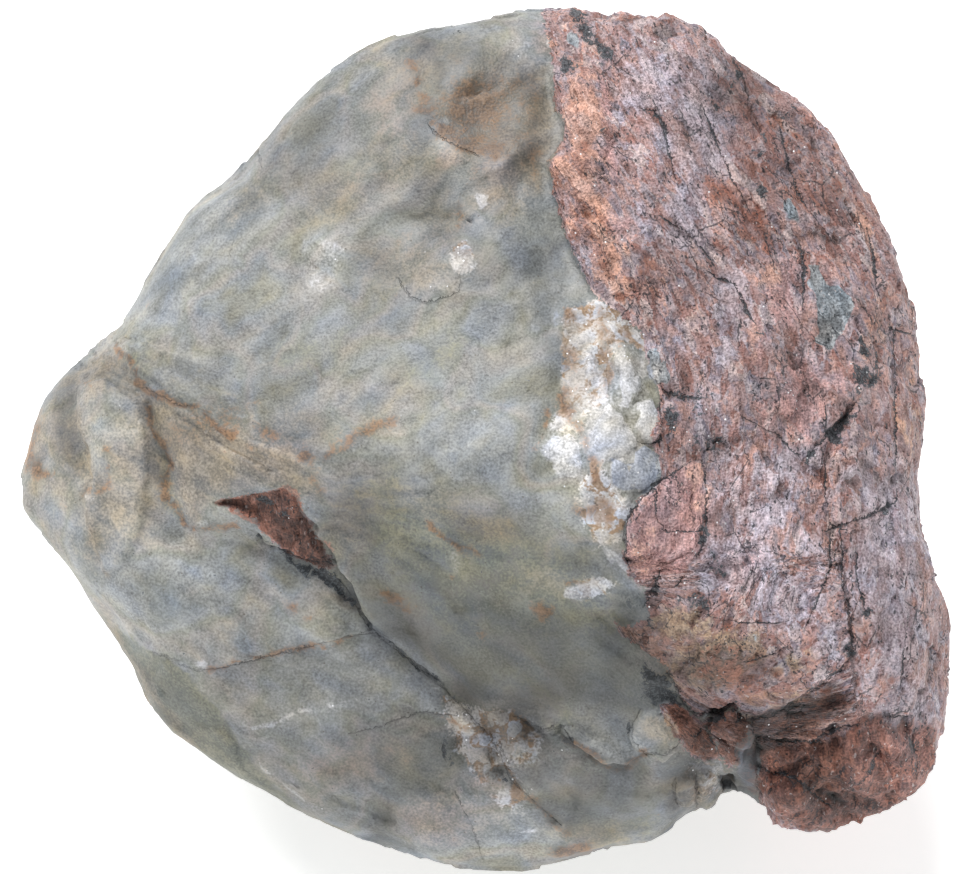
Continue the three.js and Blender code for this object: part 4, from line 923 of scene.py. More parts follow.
WASHES[Tint.MAUVE] = (
    *ovals(
        (90, -23, 10, 20, 0.95), (40, 78, 11, 9, 0.85), (70, -5, 9, 4, 0.8),
        (48, 68, 11, 13, 0.85, -20), (33, 76.3, 3.5, 8.8, 0.6, -15), (45, 49, 4, 11, 0.9, -15),
        (36.3, 48.8, 3.5, 8.8, 0.5, -12), (55, 27, 5, 11, 0.85, -12), (48, 8, 6, 6, 0.6),
        (62, -14, 10, 9, 0.8), (55, -5, 5, 4, 0.6), (92, -45, 6, 13, 1), (84, -7, 5, 6, 0.7),
        (75, -27, 5, 9, 0.55), (68, -36, 10, 7, 0.8), (56, -28, 10, 6, 1),
        (77, -44.7, 3.5, 8.8, 0.7), (95.7, -27.1, 3.5, 11, 0.7), (46.2, 23.5, 3.5, 6.6, 0.5),
        (92.8, 30.1, 3.1, 8.8, 0.45), (58.3, 73, 3.1, 4.4, 0.5), (86, -54, 5, 5, 0.6),
        (94, -61, 7, 10, 0.9),
    ),
)
WASHES[Tint.LENS] = (
    Area(((29, -5.5), (31.2, -5.1), (33.9, -9), (33.4, -11.7), (30.4, -12.1),
          (28.8, -9)), 0.4, 0.9),
    Area(((33.9, -3.3), (37, -1.5), (40, -5.5), (39.8, -9), (35.6, -12.1), (33.4, -9)), 0.4, 1),
    Area(((37.4, 19.1), (39.2, 20), (41.4, 15.2), (40.9, 10.3), (38.5, 11.7),
          (37, 15.6)), 0.4, 0.9),
    Area(((73, 38.5), (74.8, 38.1), (76.3, 33), (79, 33.9), (81.4, 29.5), (81, 25.3), (77.2, 19.1),
          (75.7, 18.3), (74.4, 21.6), (73, 33)), 0.8, 1.1),
    Area(((65.6, 52.1), (68.2, 52.6), (70.4, 49.5), (70.6, 45.5), (67.3, 45.8),
          (65.8, 48.8)), 1, 0.8),
    *ovals(
        (17.6, 25.3, 1.3, 2.6, 0.7), (21.3, 86.9, 1.5, 2.2, 0.9), (30.8, -75.9, 8.8, 3.5, 0.5),
        (26, -60, 11, 5, 0.5), (60.9, -44.7, 2.6, 2, 0.5), (90.2, -45.8, 2.2, 6.6, 0.5),
        (59, -72.2, 2.6, 5.3, 1), (80.3, -67.1, 3.1, 1.8, 0.5, -20),
    ),
)
WASHES[Tint.PINK] = (
    Area(((39.6, -9.9), (42.2, -7.7), (46.6, -5.9), (49.3, -8.4), (49.7, -20.5), (48, -26.2),
          (44.9, -30.1), (40, -29.3), (35.2, -30.4), (32.6, -28.4), (32.1, -19.6), (33.9, -16.1),
          (37, -12.8)), 1, 1.1),
    *ovals(
        (67, 32, 5, 10, 0.7), (27.7, 74.1, 1.8, 5.7, 0.8), (29, 60.9, 2.2, 6.6, 0.75),
        (24.2, 54.3, 3.1, 2.2, 0.6), (30.8, 46.6, 3.5, 2.6, 0.7), (70, 8, 10, 10, 0.75),
        (70, 56, 5, 6, 0.6), (80, 12, 4, 5, 0.6), (61.6, 19.1, 3.1, 8.8, 0.6),
        (52.8, -18.3, 3.5, 4.4, 0.45), (37.4, -5.1, 2.2, 3.1, 0.5), (86, 4, 4, 4, 0.5),
        (57, -27, 5, 5, 0.5),
    ),
)

# How far below 0 a tint's cover falls where nothing of it is drawn.
CLEARING = 0.3

# How much of each tint the far side has: its usual cover and how far noise swings it.
HIDDEN_COVER: dict[Tint, Span] = {
    Tint.TAN: (0.28, 0.26),
    Tint.RUST: (-0.04, 0.26),
    Tint.OLIVE: (0.30, 0.30),
    Tint.MILK: (0.04, 0.32),
    Tint.SHADE: (0.26, 0.34),
    Tint.BLUSH: (0.14, 0.26),
    Tint.SOOT: (-0.30, 0.55),
    Tint.BRICK: (0.04, 0.34),
    Tint.EMBER: (0.30, 0.35),
    Tint.MAUVE: (0.42, 0.40),
    Tint.LENS: (-0.15, 0.45),
    Tint.PINK: (0.38, 0.35),
}


@dataclass(frozen=True)
class Strokes:
    """The quartz's faint streaks: up to the right on the upper face, down to the right below."""

    ridge: Points = (
        (-105.6, 32.3), (-79.6, 18.7), (-54.6, 0.7), (-33, -11.7), (-2.2, -15), (17.6, -23.8),
        (37.4, -35.9), (105.6, -57.9),
    )
    upper_turn: float = 40.0
    lower_turn: float = -36.0
    blend_width: float = 9.0

    def frame(self, drawn: Array) -> Array:
        """Gives places their own axes along the streaks.

        Args:
            drawn: places on the drawing, with their depth.

        Returns:
            Rows of mm along the streaks, across them, and through the stone.
        """
        distance, side, _ = line_distance(self.ridge, drawn)
        below = smoothstep(-self.blend_width, self.blend_width, -distance * side)
        turns = np.radians([self.upper_turn, self.lower_turn])
        along = drawn[:, :1] * np.cos(turns) + drawn[:, 1:2] * np.sin(turns)
        across = drawn[:, 1:2] * np.cos(turns) - drawn[:, :1] * np.sin(turns)
        return np.stack([blend(*along.T, below), blend(*across.T, below), drawn[:, 2]], axis=1)


@dataclass(frozen=True)
class Foliation:
    """How the granite's sheets run: leaning at the top, upright below, in arcs round the hump."""

    lean: float = 0.58
    lean_from: float = 14.0
    lean_blend: float = 12.0
    depth_lean: float = 0.3
    hump: Span = (61.0, -26.0)
    hump_rim: Span = (44.0, 30.0)
    hump_stretch: float = 62.0
    hump_top: Span = (2.0, -12.0)
    hump_side: Span = (18.9, -0.09)
    hump_share: float = 0.75

    def sheets(self, drawn: Array) -> Array:
        """Gives places their own axes in the sheets.

        Args:
            drawn: places on the drawing, with their depth.

        Returns:
            Rows of mm across the sheets, along them, and through the stone.
        """
        x, y, depth = drawn.T
        above = (y - self.lean_from) / self.lean_blend
        rise = self.lean_blend * np.logaddexp(0, above)
        across = x + self.lean * rise + self.depth_lean * depth
        from_x = x - self.hump[0]
        from_y = y - self.hump[1]
        radius = np.hypot(from_x, from_y)
        turn = np.arctan2(from_x, -from_y)
        in_hump = self.hump_share * smoothstep(*self.hump_rim, radius)
        in_hump *= smoothstep(*self.hump_top, from_y)
        in_hump *= from_x < self.hump_side[0] + self.hump_side[1] * from_y
        arcs = blend(across, radius + self.hump[0], in_hump)
        along = blend(y, turn * self.hump_stretch, in_hump)
        return np.stack([arcs, along, depth], axis=1)


@dataclass(frozen=True)
class Relief:
    """Heights over the smoothed stone, in mm."""

    quartz_swell: float = 0.40
    quartz_scar: float = 1.0
    quartz_dent: float = 0.16
    quartz_flake: float = 0.5
    quartz_ridge: float = 0.05
    quartz_grain: float = 0.08
    granite_sheet: float = 0.6
    granite_block: float = 1.1
    granite_fold: float = 0.5
    granite_crumb: float = 0.36
    granite_grain: float = 0.14
    hidden_facet: float = 1.5
    hidden_chip: float = 0.5
    hidden_swell: float = 1.1
    hidden_joint: float = 0.12
    pebble: float = 1.0
    mark_end: float = 0.12  # the share of a crack or ledge over which each end fades

    FLAKES = ((11, 0.70, 130), (6, 0.72, 134), (3, 0.80, 138))  # size, rareness and seed

    def quartz(self, laid: Array, strokes: Array) -> Array:
        """Smooth swells, shallow flake scars with fine ridges between them, and a faint grain.

        Args:
            laid: places in the drawing's axes.
            strokes: the same places in the streaks' axes.

        Returns:
            The height at each place.
        """
        pulled = strokes + 2.5 * Grain.noise(laid, 8, 10)[:, None]
        large = Grain.cells(pulled / (24, 13, 18), 1, 11)
        scars = large.near**2 - 0.3 + 0.5 * large.tilt()
        small = Grain.cells(pulled / (8, 4.5, 6), 1, 14)
        return (
            self.quartz_swell * Grain.layered(laid, 17, 16, 2)
            + self.quartz_scar * scars * (0.4 + 0.6 * large.chance[:, 0])
            + self.quartz_dent * (small.near**2 + small.tilt())
            + self.quartz_flake * self.flakes(pulled)
            + self.quartz_ridge * Grain.noise(strokes / (3, 1, 1.5), 2.6, 18)
            + self.quartz_grain * Grain.noise(laid, 2.6, 19)
        )

    def flakes(self, strokes: Array) -> Array:
        """Shallow flakes with crisp edges, left standing or sprung off here and there.

        Args:
            strokes: places in the streaks' axes.

        Returns:
            The height at each place, for the largest flakes about 1.
        """
        height = np.zeros(len(strokes))
        for size, rare, seed in self.FLAKES:
            chips = Grain.cells(strokes / (1.5, 0.9, 1.1), size, seed)
            lift = 0.35 + 1.5 * chips.tilt() - chips.near
            height += (chips.chance[:, 1] > rare) * lift * size / self.FLAKES[0][0]
        return height

    def granite(self, sheets: Array) -> Array:
        """Folds, split sheets, rounded blocks with joints between them, and coarse grain.

        Args:
            sheets: places in the sheets' axes.

        Returns:
            The height at each place.
        """
        folds = 1 - 2 * np.abs(Grain.noise(sheets / (9, 34, 22), 1, 20))
        ridges = 1 - 2 * np.abs(Grain.noise(sheets / (2.8, 13, 9), 1, 21))
        fine = 1 - 2 * np.abs(Grain.noise(sheets / (1.4, 6.5, 4), 1, 22))
        pulled = sheets + 1.5 * Grain.noise(sheets, 5, 24)[:, None]
        large = Grain.cells(pulled / (6.5, 11, 9), 1, 23)
        blocks = 0.5 * (large.chance[:, 0] - 0.5) + 1.5 * large.tilt() - 0.15 * large.near**2
        joints = 0.4 * smoothstep(0.08, 0, large.gap) * (large.chance[:, 1] > 0.5)
        small = Grain.cells(pulled / (2.8, 4.6, 3.6), 1, 26)
        crumbs = 0.8 * (small.chance[:, 0] - 0.5) + 1.2 * small.tilt()
        crumbs -= 0.3 * smoothstep(0.12, 0, small.gap)
        return (
            self.granite_fold * (folds - 0.4)
            + self.granite_sheet * (0.6 * ridges + 0.3 * fine - 0.3)
            + self.granite_block * (blocks - joints)
            + self.granite_crumb * crumbs
            + self.granite_grain * Grain.layered(sheets, 1.9, 28, 2)
        )

    def hidden(self, laid: Array) -> Array:
        """The far side's broken faces and scoops, without the drawn marks.

        Args:
            laid: places in the drawing's axes.

        Returns:
            The height at each place.
        """
        large = Grain.cells(laid + 3 * Grain.noise(laid, 9, 40)[:, None], 19, 41)
        small = Grain.cells(laid, 8, 44)
        return (
            self.hidden_facet * (2.2 * large.tilt() + 0.8 * (large.chance[:, 0] - 0.5))
            + self.hidden_chip * small.tilt()
            + self.hidden_swell * Grain.noise(laid, 26, 47)
            - self.hidden_joint * smoothstep(0.08, 0, large.gap)
        )

    def ends(self, run: Array) -> Array:
        """Fades from 0 to 1 and back along a line, over its two ends."""
        return smoothstep(0, self.mark_end, run) * smoothstep(1, 1 - self.mark_end, run)

    def marks(self, drawn: Array, granite: Array) -> Array:
        """Cracks, ledges, hollows and lumps where they are drawn.

        Args:
            drawn: places on the drawing, with their depth.
            granite: how far each is granite, from 0 to 1. Quartz cracks are shallow.

        Returns:
            The height at each place.
        """
        height = np.zeros(len(drawn))
        frayed = drawn[:, :2] + 0.8 * np.stack(
            [Grain.noise(drawn, 3.0, seed) for seed in (52, 53)], axis=1
        )
        deep = blend(0.35, 0.85, granite) * (0.75 + 0.6 * Grain.noise(drawn, 5, 54))
        for crack in CRACKS:
            distance, _, run = line_distance(crack.line, frayed)
            taper = 0.35 + 0.65 * self.ends(run)
            height -= deep * crack.depth * taper * np.exp(-((distance / crack.width) ** 2))
        for ledge in STEPS:
            distance, side, run = line_distance(ledge.line, frayed)
            fall = smoothstep(ledge.edge, -ledge.edge, distance * side)
            back = smoothstep(ledge.reach, 0, distance)
            height -= ledge.drop * fall * self.ends(run) * back
        for mark in SWELLS:
            height += mark.cover(frayed)
        return height


@dataclass(frozen=True)
class Pebbles:
    """The lumps of broken quartz: irregular cells, each a small dome."""

    width: Triple = (4.2, 6.4, 5.0)
    pull: float = 2.6
    dome: float = 0.6

    def cells(self, drawn: Array) -> tuple[Array, Array, Array]:
        """Finds the pebbles.

        Args:
            drawn: places on the drawing, with their depth.

        Returns:
            How far each place lies in the rubble, its pebble's random number, and how high on
            the pebble it is, from 0 in the gap to 1 on top.
        """
        cover = np.max([mark.cover(drawn) for mark in RUBBLE], axis=0)
        pulled = drawn + self.pull * np.stack(
            [Grain.layered(drawn, 4.5, seed, 2) for seed in (50, 52, 54)], axis=1
        )
        found = Grain.cells(pulled / self.width, 1, 56)
        return cover, found.chance[:, 0], smoothstep(0, self.dome, found.gap)


@dataclass
class Boulder:
    """The stone's own mesh: a copy of its solid, remeshed, roughened and thinned.

    Its lengths are in mm.
    """

    name: str = "granite_boulder"
    merge: float = 0.01
    voxel: float = 0.62
    smoothing: int = 16
    smooth_factor: float = 0.5
    triangles: int = 190_000
    hidden_normal: Span = (0.16, -0.14)
    contact: float = 0.4
    foot_fade: Span = (0.8, 3.0)
    foot_blend: float = 5.0
    hollow_depth: float = 1.8
    drawing: Drawing = field(default_factory=Drawing)
    foliation: Foliation = field(default_factory=Foliation)
    strokes: Strokes = field(default_factory=Strokes)
    pebbles: Pebbles = field(default_factory=Pebbles)
    relief: Relief = field(default_factory=Relief)

    GROUP_LEVELS = 63  # steps of a weight in a vertex group

    def build(self) -> Piece:
        """Makes the finished mesh and its attributes, and lets it stand for the solid.

        Returns:
            The stone.
        """
        stone = self.copied()
        self.remeshed(stone)
        self.roughened(stone)
        self.thinned(stone)
        self.marked(stone)
        select_only(stone)
        bpy.ops.object.shade_smooth()
        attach(stone, "root")
        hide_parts(NODE)
        return stone

    def copied(self) -> Piece:
        """Copies the solid and merges its loose triangles.

        Returns:
            The copy.
        """
        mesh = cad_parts[NODE].data.copy()
        stone = bpy.data.objects.new(self.name, mesh)
        bpy.context.scene.collection.objects.link(stone)
        mesh.materials.clear()
        select_only(stone)
        bpy.ops.object.mode_set(mode="EDIT")
        bpy.ops.mesh.select_all(action="SELECT")
        bpy.ops.mesh.remove_doubles(threshold=self.merge * MM)
        bpy.ops.object.mode_set(mode="OBJECT")
        return stone

    def remeshed(self, stone: Piece) -> None:
        """Remeshes the stone into small even faces and smooths the solid's flat triangles away."""
        apply_modifier(stone, "REMESH", mode="VOXEL", voxel_size=self.voxel * MM)
        apply_modifier(stone, "SMOOTH", factor=self.smooth_factor, iterations=self.smoothing)

    def roughened(self, stone: Piece) -> None:
        """Moves each vertex along its normal by the relief there.

        Args:
            stone: the stone, which gets vertex groups for its far side and its hollows.
        """
        mesh = stone.data
        places = read_vectors(mesh.vertices, "co")
        normals = read_vectors(mesh.vertex_normals, "vector")
        laid = self.drawing.laid(places)
        drawn = self.drawing.drawn(laid)
        facing = self.drawing.turned(normals)[:, 2]
        hidden = smoothstep(*self.hidden_normal, facing)
        granite = smoothstep(-self.contact, self.contact, self.past_vein(drawn, hidden))
        for bit in GRANITE_BITS:
            granite = np.maximum(granite, bit.cover(drawn) * (1 - hidden))
        fine = blend(
            self.relief.quartz(laid, self.strokes.frame(drawn)),
            self.relief.granite(self.foliation.sheets(drawn)),
            granite,
        )
        cover, rise, dome = self.pebbles.cells(drawn)
        lumps = self.relief.pebble * (dome * (0.35 + 0.65 * rise) - 0.4) * cover
        height = fine + (self.relief.marks(drawn, granite) + lumps) * (1 - hidden)
        behind = self.relief.hidden(laid) * hidden
        height += behind * blend(0.75, 1.0, granite)
        above = places[:, 2] / MM
        height *= smoothstep(*self.foot_fade, above)
        places += normals * (height * MM)[:, None]
        places[:, 2] -= places[:, 2].min() * smoothstep(self.foot_blend, 0, above)
        self.place(mesh, places)
        # How low each place lies in the relief, kept for the painted shade in hollows and painted
        # light on rises.
        hollow = np.clip(0.5 - (height - behind) / 2 / self.hollow_depth, 0, 1)
        self.store_group(stone, "hidden", hidden)
        self.store_group(stone, "hollow", hollow)

    @staticmethod
    def place(mesh: bpy.types.Mesh, places: Array) -> None:
        """Moves the vertices to these places, but none below the floor.

        Args:
            mesh: the mesh.
            places: a row of three in metres for each vertex.
        """
        places[:, 2] = np.maximum(places[:, 2], 0)
        mesh.vertices.foreach_set("co", places.astype(np.float32).ravel())
        mesh.update()

    def store_group(self, stone: Piece, name: str, weights: Array) -> None:
        """Keeps a value at each vertex in a vertex group, which thinning carries on.

        Args:
            stone: the stone.
            name: the group's name.
            weights: a value from 0 to 1 for each vertex.
        """
        group = stone.vertex_groups.new(name=name)
        levels = np.round(weights * self.GROUP_LEVELS).astype(int)
        for level in np.unique(levels):
            chosen = np.flatnonzero(levels == level).tolist()
            group.add(chosen, float(level) / self.GROUP_LEVELS, "REPLACE")

    @staticmethod
    def read_group(stone: Piece, name: str) -> Array:
        """Reads a vertex group's value at each vertex.

        Args:
            stone: the stone.
            name: the group's name.

        Returns:
            A value from 0 to 1 for each vertex.
        """
        index = stone.vertex_groups[name].index
        weights = (
            next((kept.weight for kept in vertex.groups if kept.group == index), 0.0)
            for vertex in stone.data.vertices
        )
        return np.fromiter(weights, np.float32)

    def thinned(self, stone: Piece) -> None:
        """Collapses edges down to the wanted number of triangles, and flattens the foot again.

        Args:
            stone: the stone.
        """
        faces = sum(len(polygon.vertices) - 2 for polygon in stone.data.polygons)
        apply_modifier(
            stone,
            "DECIMATE",
            decimate_type="COLLAPSE",
            ratio=self.triangles / faces,
            use_collapse_triangulate=True,
        )
        self.place(stone.data, read_vectors(stone.data.vertices, "co"))

    def past_vein(self, drawn: Array, hidden: Array) -> Array:
        """Measures places against the vein's edge.

        Args:
            drawn: places on the drawing, with their depth.
            hidden: how far each is on the far side, from 0 to 1.

        Returns:
            The distance past the edge in mm, positive in the granite.
        """
        distance, side, _ = line_distance(VEIN_EDGE, drawn)
        stray = VEIN_WANDER * Grain.layered(drawn, 38, 61, 2)
        return distance * side + stray * hidden

    def marked(self, stone: Piece) -> None:
        """Writes the attributes that the material reads, three numbers in each.

        Args:
            stone: the stone, which loses its vertex groups.
        """
        mesh = stone.data
        laid = self.drawing.laid(read_vectors(mesh.vertices, "co"))
        drawn = self.drawing.drawn(laid)
        hidden = self.read_group(stone, "hidden")
        hollow = self.read_group(stone, "hollow")
        stone.vertex_groups.clear()
        shown = 1 - hidden
        sheets = self.foliation.sheets(drawn)
        past = self.past_vein(drawn, hidden)
        for bit in GRANITE_BITS:
            past = np.maximum(past, np.where(shown > 0.5, bit.inside(drawn), -FAR))
        for bit in QUARTZ_BITS:
            past = np.minimum(past, np.where(shown > 0.5, -bit.inside(drawn), FAR))
        frayed = self.frayed(drawn)
        # the drawn tone with painted light and shade, on the near side only
        facets = sum(mark.cover(frayed) for mark in PAINTED_SHADING_AND_TONE) * shown
        beside, near = self.crack_places(drawn)
        cover, lump, dome = self.pebbles.cells(drawn)
        folded = laid + 4 * Grain.noise(laid, 12, 90)[:, None]
        brushing = self.strokes.frame(drawn) / (21, 4.6, 10)
        store_vectors(mesh, "place", *drawn.T)
        store_vectors(mesh, "sheets", *sheets.T)
        store_vectors(mesh, "edges", past, blend(FAR, beside, shown), blend(FAR, near, shown))
        store_vectors(mesh, "rubble", cover * shown, lump, dome)
        store_vectors(mesh, "form", hollow, facets, Grain.layered(laid, 9, 103, 2))
        store_vectors(
            mesh,
            "clouds",
            Grain.layered(folded, 19, 91, 4),
            Grain.layered(laid, 6.5, 95, 2),
            blend(
                Grain.layered(brushing, 1, 97, 2),
                Grain.layered(sheets / (5, 24, 14), 1, 99, 3),
                smoothstep(-1, 1, past),
            ),
        )
        store_vectors(
            mesh,
            "hues",
            Grain.layered(laid, 7.0, 110, 3),
            Grain.layered(brushing * (2.4, 1.6, 2.0), 1, 114, 2),
            Grain.layered(sheets / (2.6, 5.2, 4.0), 1, 118, 2),
        )
        tints = [self.tint_cover(tint, laid, frayed, hidden) for tint in Tint]
        for first in range(0, len(tints), 3):
            store_vectors(mesh, f"tints_{first // 3}", *tints[first : first + 3])

    @staticmethod
    def tint_cover(
        tint: Tint, laid: Array, frayed: Array, hidden: Array
    ) -> Array:
        """How strongly a tint is laid on: by its marks in front, and by noise behind.

        Args:
            tint: the tint.
            laid: places in the drawing's axes.
            frayed: where they lie on the drawing, pulled about a little.
            hidden: how far each is on the far side, from 0 to 1.

        Returns:
            The cover. Below 0 not even the roughest noise brings the tint out.
        """
        cover = np.max([mark.cover(frayed) for mark in WASHES[tint]], axis=0)
        level, swing = HIDDEN_COVER[tint]
        behind = level + swing * Grain.layered(laid, 30, 70 + list(Tint).index(tint), 3)
        return blend(cover + CLEARING * (cover - 1), behind, hidden)

    @staticmethod
    def frayed(drawn: Array) -> Array:
        """Pulls places about on the drawing, so that drawn outlines become uneven."""
        pulls = [
            1.6 * Grain.noise(drawn, 8, 80 + axis) + 0.9 * Grain.noise(drawn, 3.2, 82 + axis)
            for axis in (0, 1)
        ]
        return drawn[:, :2] + np.stack(pulls, axis=1)

    @staticmethod
    def crack_places(drawn: Array) -> tuple[Array, Array]:
        """Measures places against the cracks.

        Args:
            drawn: places on the drawing, with their depth.

        Returns:
            The distance to the nearest crack in crack widths, below 0 to its right, and the
            same distance without its sign.
        """
        near = np.full(len(drawn), FAR)
        beside = np.full(len(drawn), FAR)
        for crack in CRACKS:
            distance, side, run = line_distance(crack.line, drawn)
            thinness = 1 + 1.2 * smoothstep(0.25, 0, np.minimum(run, 1 - run))
            gap = distance / crack.width * thinness
            beside = np.where(gap < near, gap * side, beside)
            near = np.minimum(near, gap)
        return beside, near


def select_only(chosen: Piece) -> None:
    """Makes one object the only selected one and the active one.

    Args:
        chosen: the object.
    """
    bpy.ops.object.select_all(action="DESELECT")
    chosen.select_set(True)
    bpy.context.view_layer.objects.active = chosen


def apply_modifier(piece: Piece, kind: str, **settings: object) -> None:
    """Adds a modifier to a piece and applies it.

    Args:
        piece: the piece.
        kind: the modifier's type.
        settings: its own properties.
    """
    select_only(piece)
    modifier = piece.modifiers.new(kind.lower(), kind)
    for name, value in settings.items():
        setattr(modifier, name, value)
    bpy.ops.object.modifier_apply(modifier=modifier.name)


def read_vectors(items: bpy.types.bpy_prop_collection, name: str) -> Array:
    """Reads one vector of each item.

    Args:
        items: the items.
        name: the vector's name.

    Returns:
        A row of three for each item.
    """
    values = np.zeros(len(items) * 3, np.float32)
    items.foreach_get(name, values)
    return values.reshape(-1, 3).astype(np.float64)


def store_vectors(mesh: bpy.types.Mesh, name: str, *values: Array) -> None:
    """Keeps three numbers at each vertex as one attribute called `name`."""
    attribute = mesh.attributes.new(name, "FLOAT_VECTOR", "POINT")
    attribute.data.foreach_set("vector", np.stack(values, axis=1).astype(np.float32).ravel())


class Value:
    """A number that varies over the surface. Each operator on it adds its Math node."""

    def __init__(self, graph: "Graph", socket: Socket) -> None:
        """Wraps an output socket of the graph."""
        self.graph = graph
        self.socket = socket

    def maths(self, operation: str, *numbers: object) -> "Value":
        """Adds a Math node with these numbers, in order."""
        settings = {"operation": operation}
        return self.graph.number("Math", settings, dict(enumerate(numbers)))

    def __add__(self, other: object) -> "Value":
        """self + other."""
        return self.maths("ADD", self, other)

    __radd__ = __add__

    def __sub__(self, other: object) -> "Value":
        """self - other."""
        return self.maths("SUBTRACT", self, other)

    def __rsub__(self, other: object) -> "Value":
        """other - self."""
        return self.maths("SUBTRACT", other, self)

    def __mul__(self, other: object) -> "Value":
        """self * other."""
        return self.maths("MULTIPLY", self, other)

    __rmul__ = __mul__

    def __abs__(self) -> "Value":
        """The value without its sign."""
        return self.maths("ABSOLUTE", self)

    def most(self, other: object) -> "Value":
        """The larger of two numbers."""
        return self.maths("MAXIMUM", self, other)

    def plus(self, share: float, other: "Value") -> "Value":
        """self + share * other, in one node."""
        return self.maths("MULTIPLY_ADD", other, share, self)

    def step(self, low: float, high: float, top: float = 1.0) -> "Value":
        """Turns the value into a soft step.

        Args:
            low: where the step is 0.
            high: where it is at its top. It may be the smaller one.
            top: the step's height.

        Returns:
            The step.
        """
        falling = low > high
        return self.graph.number(
            "MapRange",
            {"interpolation_type": "SMOOTHSTEP", "clamp": True},
            {
                "Value": self,
                "From Min": min(low, high),
                "From Max": max(low, high),
                "To Min": top if falling else 0.0,
                "To Max": 0.0 if falling else top,
            },
        )


class Graph:
    """The node tree of one material."""

    MIX_INPUTS = (0, 6, 7)  # the Mix node's share and its two colours
    MIX_OUTPUT = 2

    def __init__(self, material: bpy.types.Material) -> None:
        """Empties the material's node tree.

        Args:
            material: the material.
        """
        material.use_nodes = True
        self.tree = material.node_tree
        self.tree.nodes.clear()

    def node(self, kind: str, settings: dict, sockets: dict) -> bpy.types.Node:
        """Adds a node.

        Args:
            kind: the node's type, without ShaderNode before it.
            settings: its own properties, or a ramp's stops, set first.
            sockets: a value, a Value or a socket to link for each input, by place or name.

        Returns:
            The node.
        """
        made = self.tree.nodes.new(f"ShaderNode{kind}")
        for name, value in settings.items():
            if name == "stops":
                self.set_stops(made.color_ramp.elements, value)
            else:
                setattr(made, name, value)
        for key, value in sockets.items():
            target = made.inputs[key]
            if isinstance(value, Value):
                self.tree.links.new(value.socket, target)
            elif isinstance(value, Socket):
                self.tree.links.new(value, target)
            elif target.type == "RGBA" and len(value) == 3:
                target.default_value = (*value, 1.0)
            else:
                target.default_value = value
        return made

    @staticmethod
    def set_stops(elements: bpy.types.ColorRampElements, stops: Stops) -> None:
        """Sets a new ramp's stops.

        Args:
            elements: the ramp's elements.
            stops: the stops, from the ramp's start on.
        """
        elements.remove(elements[-1])
        for order, (at, colour) in enumerate(stops):
            element = elements[0] if order == 0 else elements.new(at)
            element.position = at
            element.color = (*colour, 1.0)

    def number(self, kind: str, settings: dict, sockets: dict, output: int | str = 0) -> Value:
        """Adds a node as `node` does, and wraps the number that it puts out."""
        return Value(self, self.node(kind, settings, sockets).outputs[output])

    def vector(self, name: str) -> Socket:
        """Reads a vector attribute of the mesh."""
        return self.node("Attribute", {"attribute_name": name}, {}).outputs["Vector"]

    def parts(self, name: str) -> tuple[Value, ...]:
        """Reads the three numbers of an attribute."""
        made = self.node("SeparateXYZ", {}, {0: self.vector(name)})
        return tuple(Value(self, socket) for socket in made.outputs)

    def vectors(self, operation: str, *parts: object) -> Socket:
        """Adds a Vector Math node with these parts, in order."""
        made = self.node("VectorMath", {"operation": operation}, dict(enumerate(parts)))
        return made.outputs[0]

    def scaled(self, vector: Socket, lengths: Triple) -> Socket:
        """Divides a vector by a length on each axis."""
        return self.vectors("DIVIDE", vector, lengths)

    def noise(
        self, vector: Socket, length: float, detail: float = 2.0, rough: float = 0.55
    ) -> Value:
        """Adds a noise, from about 0.25 to 0.75.

        Args:
            vector: where to read it.
            length: the size of its swells, in the vector's units.
            detail: octaves above the first.
            rough: how strong they are.

        Returns:
            The noise.
        """
        sockets = {"Vector": vector, "Scale": 1 / length, "Detail": detail, "Roughness": rough}
        return self.number("TexNoise", {}, sockets, "Fac")

    def crystals(self, vector: Socket, size: float) -> tuple[Value, Value, Value]:
        """Adds irregular cells.

        Args:
            vector: where to read them.
            size: their usual width, in the vector's units.

        Returns:
            Two random numbers for each cell, and the distance from its middle.
        """
        made = self.node("TexVoronoi", {}, {"Vector": vector, "Scale": 1 / size})
        parts = self.node("SeparateColor", {}, {"Color": made.outputs["Color"]})
        return (
            Value(self, parts.outputs[0]),
            Value(self, parts.outputs[1]),
            Value(self, made.outputs["Distance"]),
        )

    def edges(self, vector: Socket) -> Value:
        """Adds irregular cells one unit wide, and reads the distance to the nearest edge."""
        sockets = {"Vector": vector, "Scale": 1.0}
        return self.number("TexVoronoi", {"feature": "DISTANCE_TO_EDGE"}, sockets, "Distance")

    def pulled(self, vector: Socket, by: Value, far: float) -> Socket:
        """Moves a vector by a noise that is already there, `far` on each axis for each 1 of it."""
        return self.vectors("MULTIPLY_ADD", by, (far, far, far), vector)

    def mix(self, share: object, low: object, high: object) -> Socket:
        """Mixes two colours. `share` is how much of the second shows."""
        sockets = dict(zip(self.MIX_INPUTS, (share, low, high)))
        return self.node("Mix", {"data_type": "RGBA"}, sockets).outputs[self.MIX_OUTPUT]

    def shaded(self, colour: object, level: Value) -> Socket:
        """Multiplies a colour by a level."""
        sockets = {0: colour, "Scale": level}
        return self.node("VectorMath", {"operation": "SCALE"}, sockets).outputs[0]

    def warmed(self, colour: Socket, warmth: Value, share: Triple) -> Socket:
        """Multiplies a colour by 1 + share * warmth, with a share for each channel."""
        level = self.vectors("MULTIPLY_ADD", warmth, share, (1.0, 1.0, 1.0))
        return self.vectors("MULTIPLY", colour, level)

    def ramp(self, value: Value, stops: Stops) -> Socket:
        """Turns a value into a colour through a ramp of stops."""
        return self.node("ValToRGB", {"stops": stops}, {"Fac": value}).outputs["Color"]

    def surface(self, sockets: dict) -> None:
        """Ends the tree in a Principled shader with these inputs."""
        shader = self.node("BsdfPrincipled", {}, sockets)
        self.node("OutputMaterial", {}, {"Surface": shader.outputs[0]})


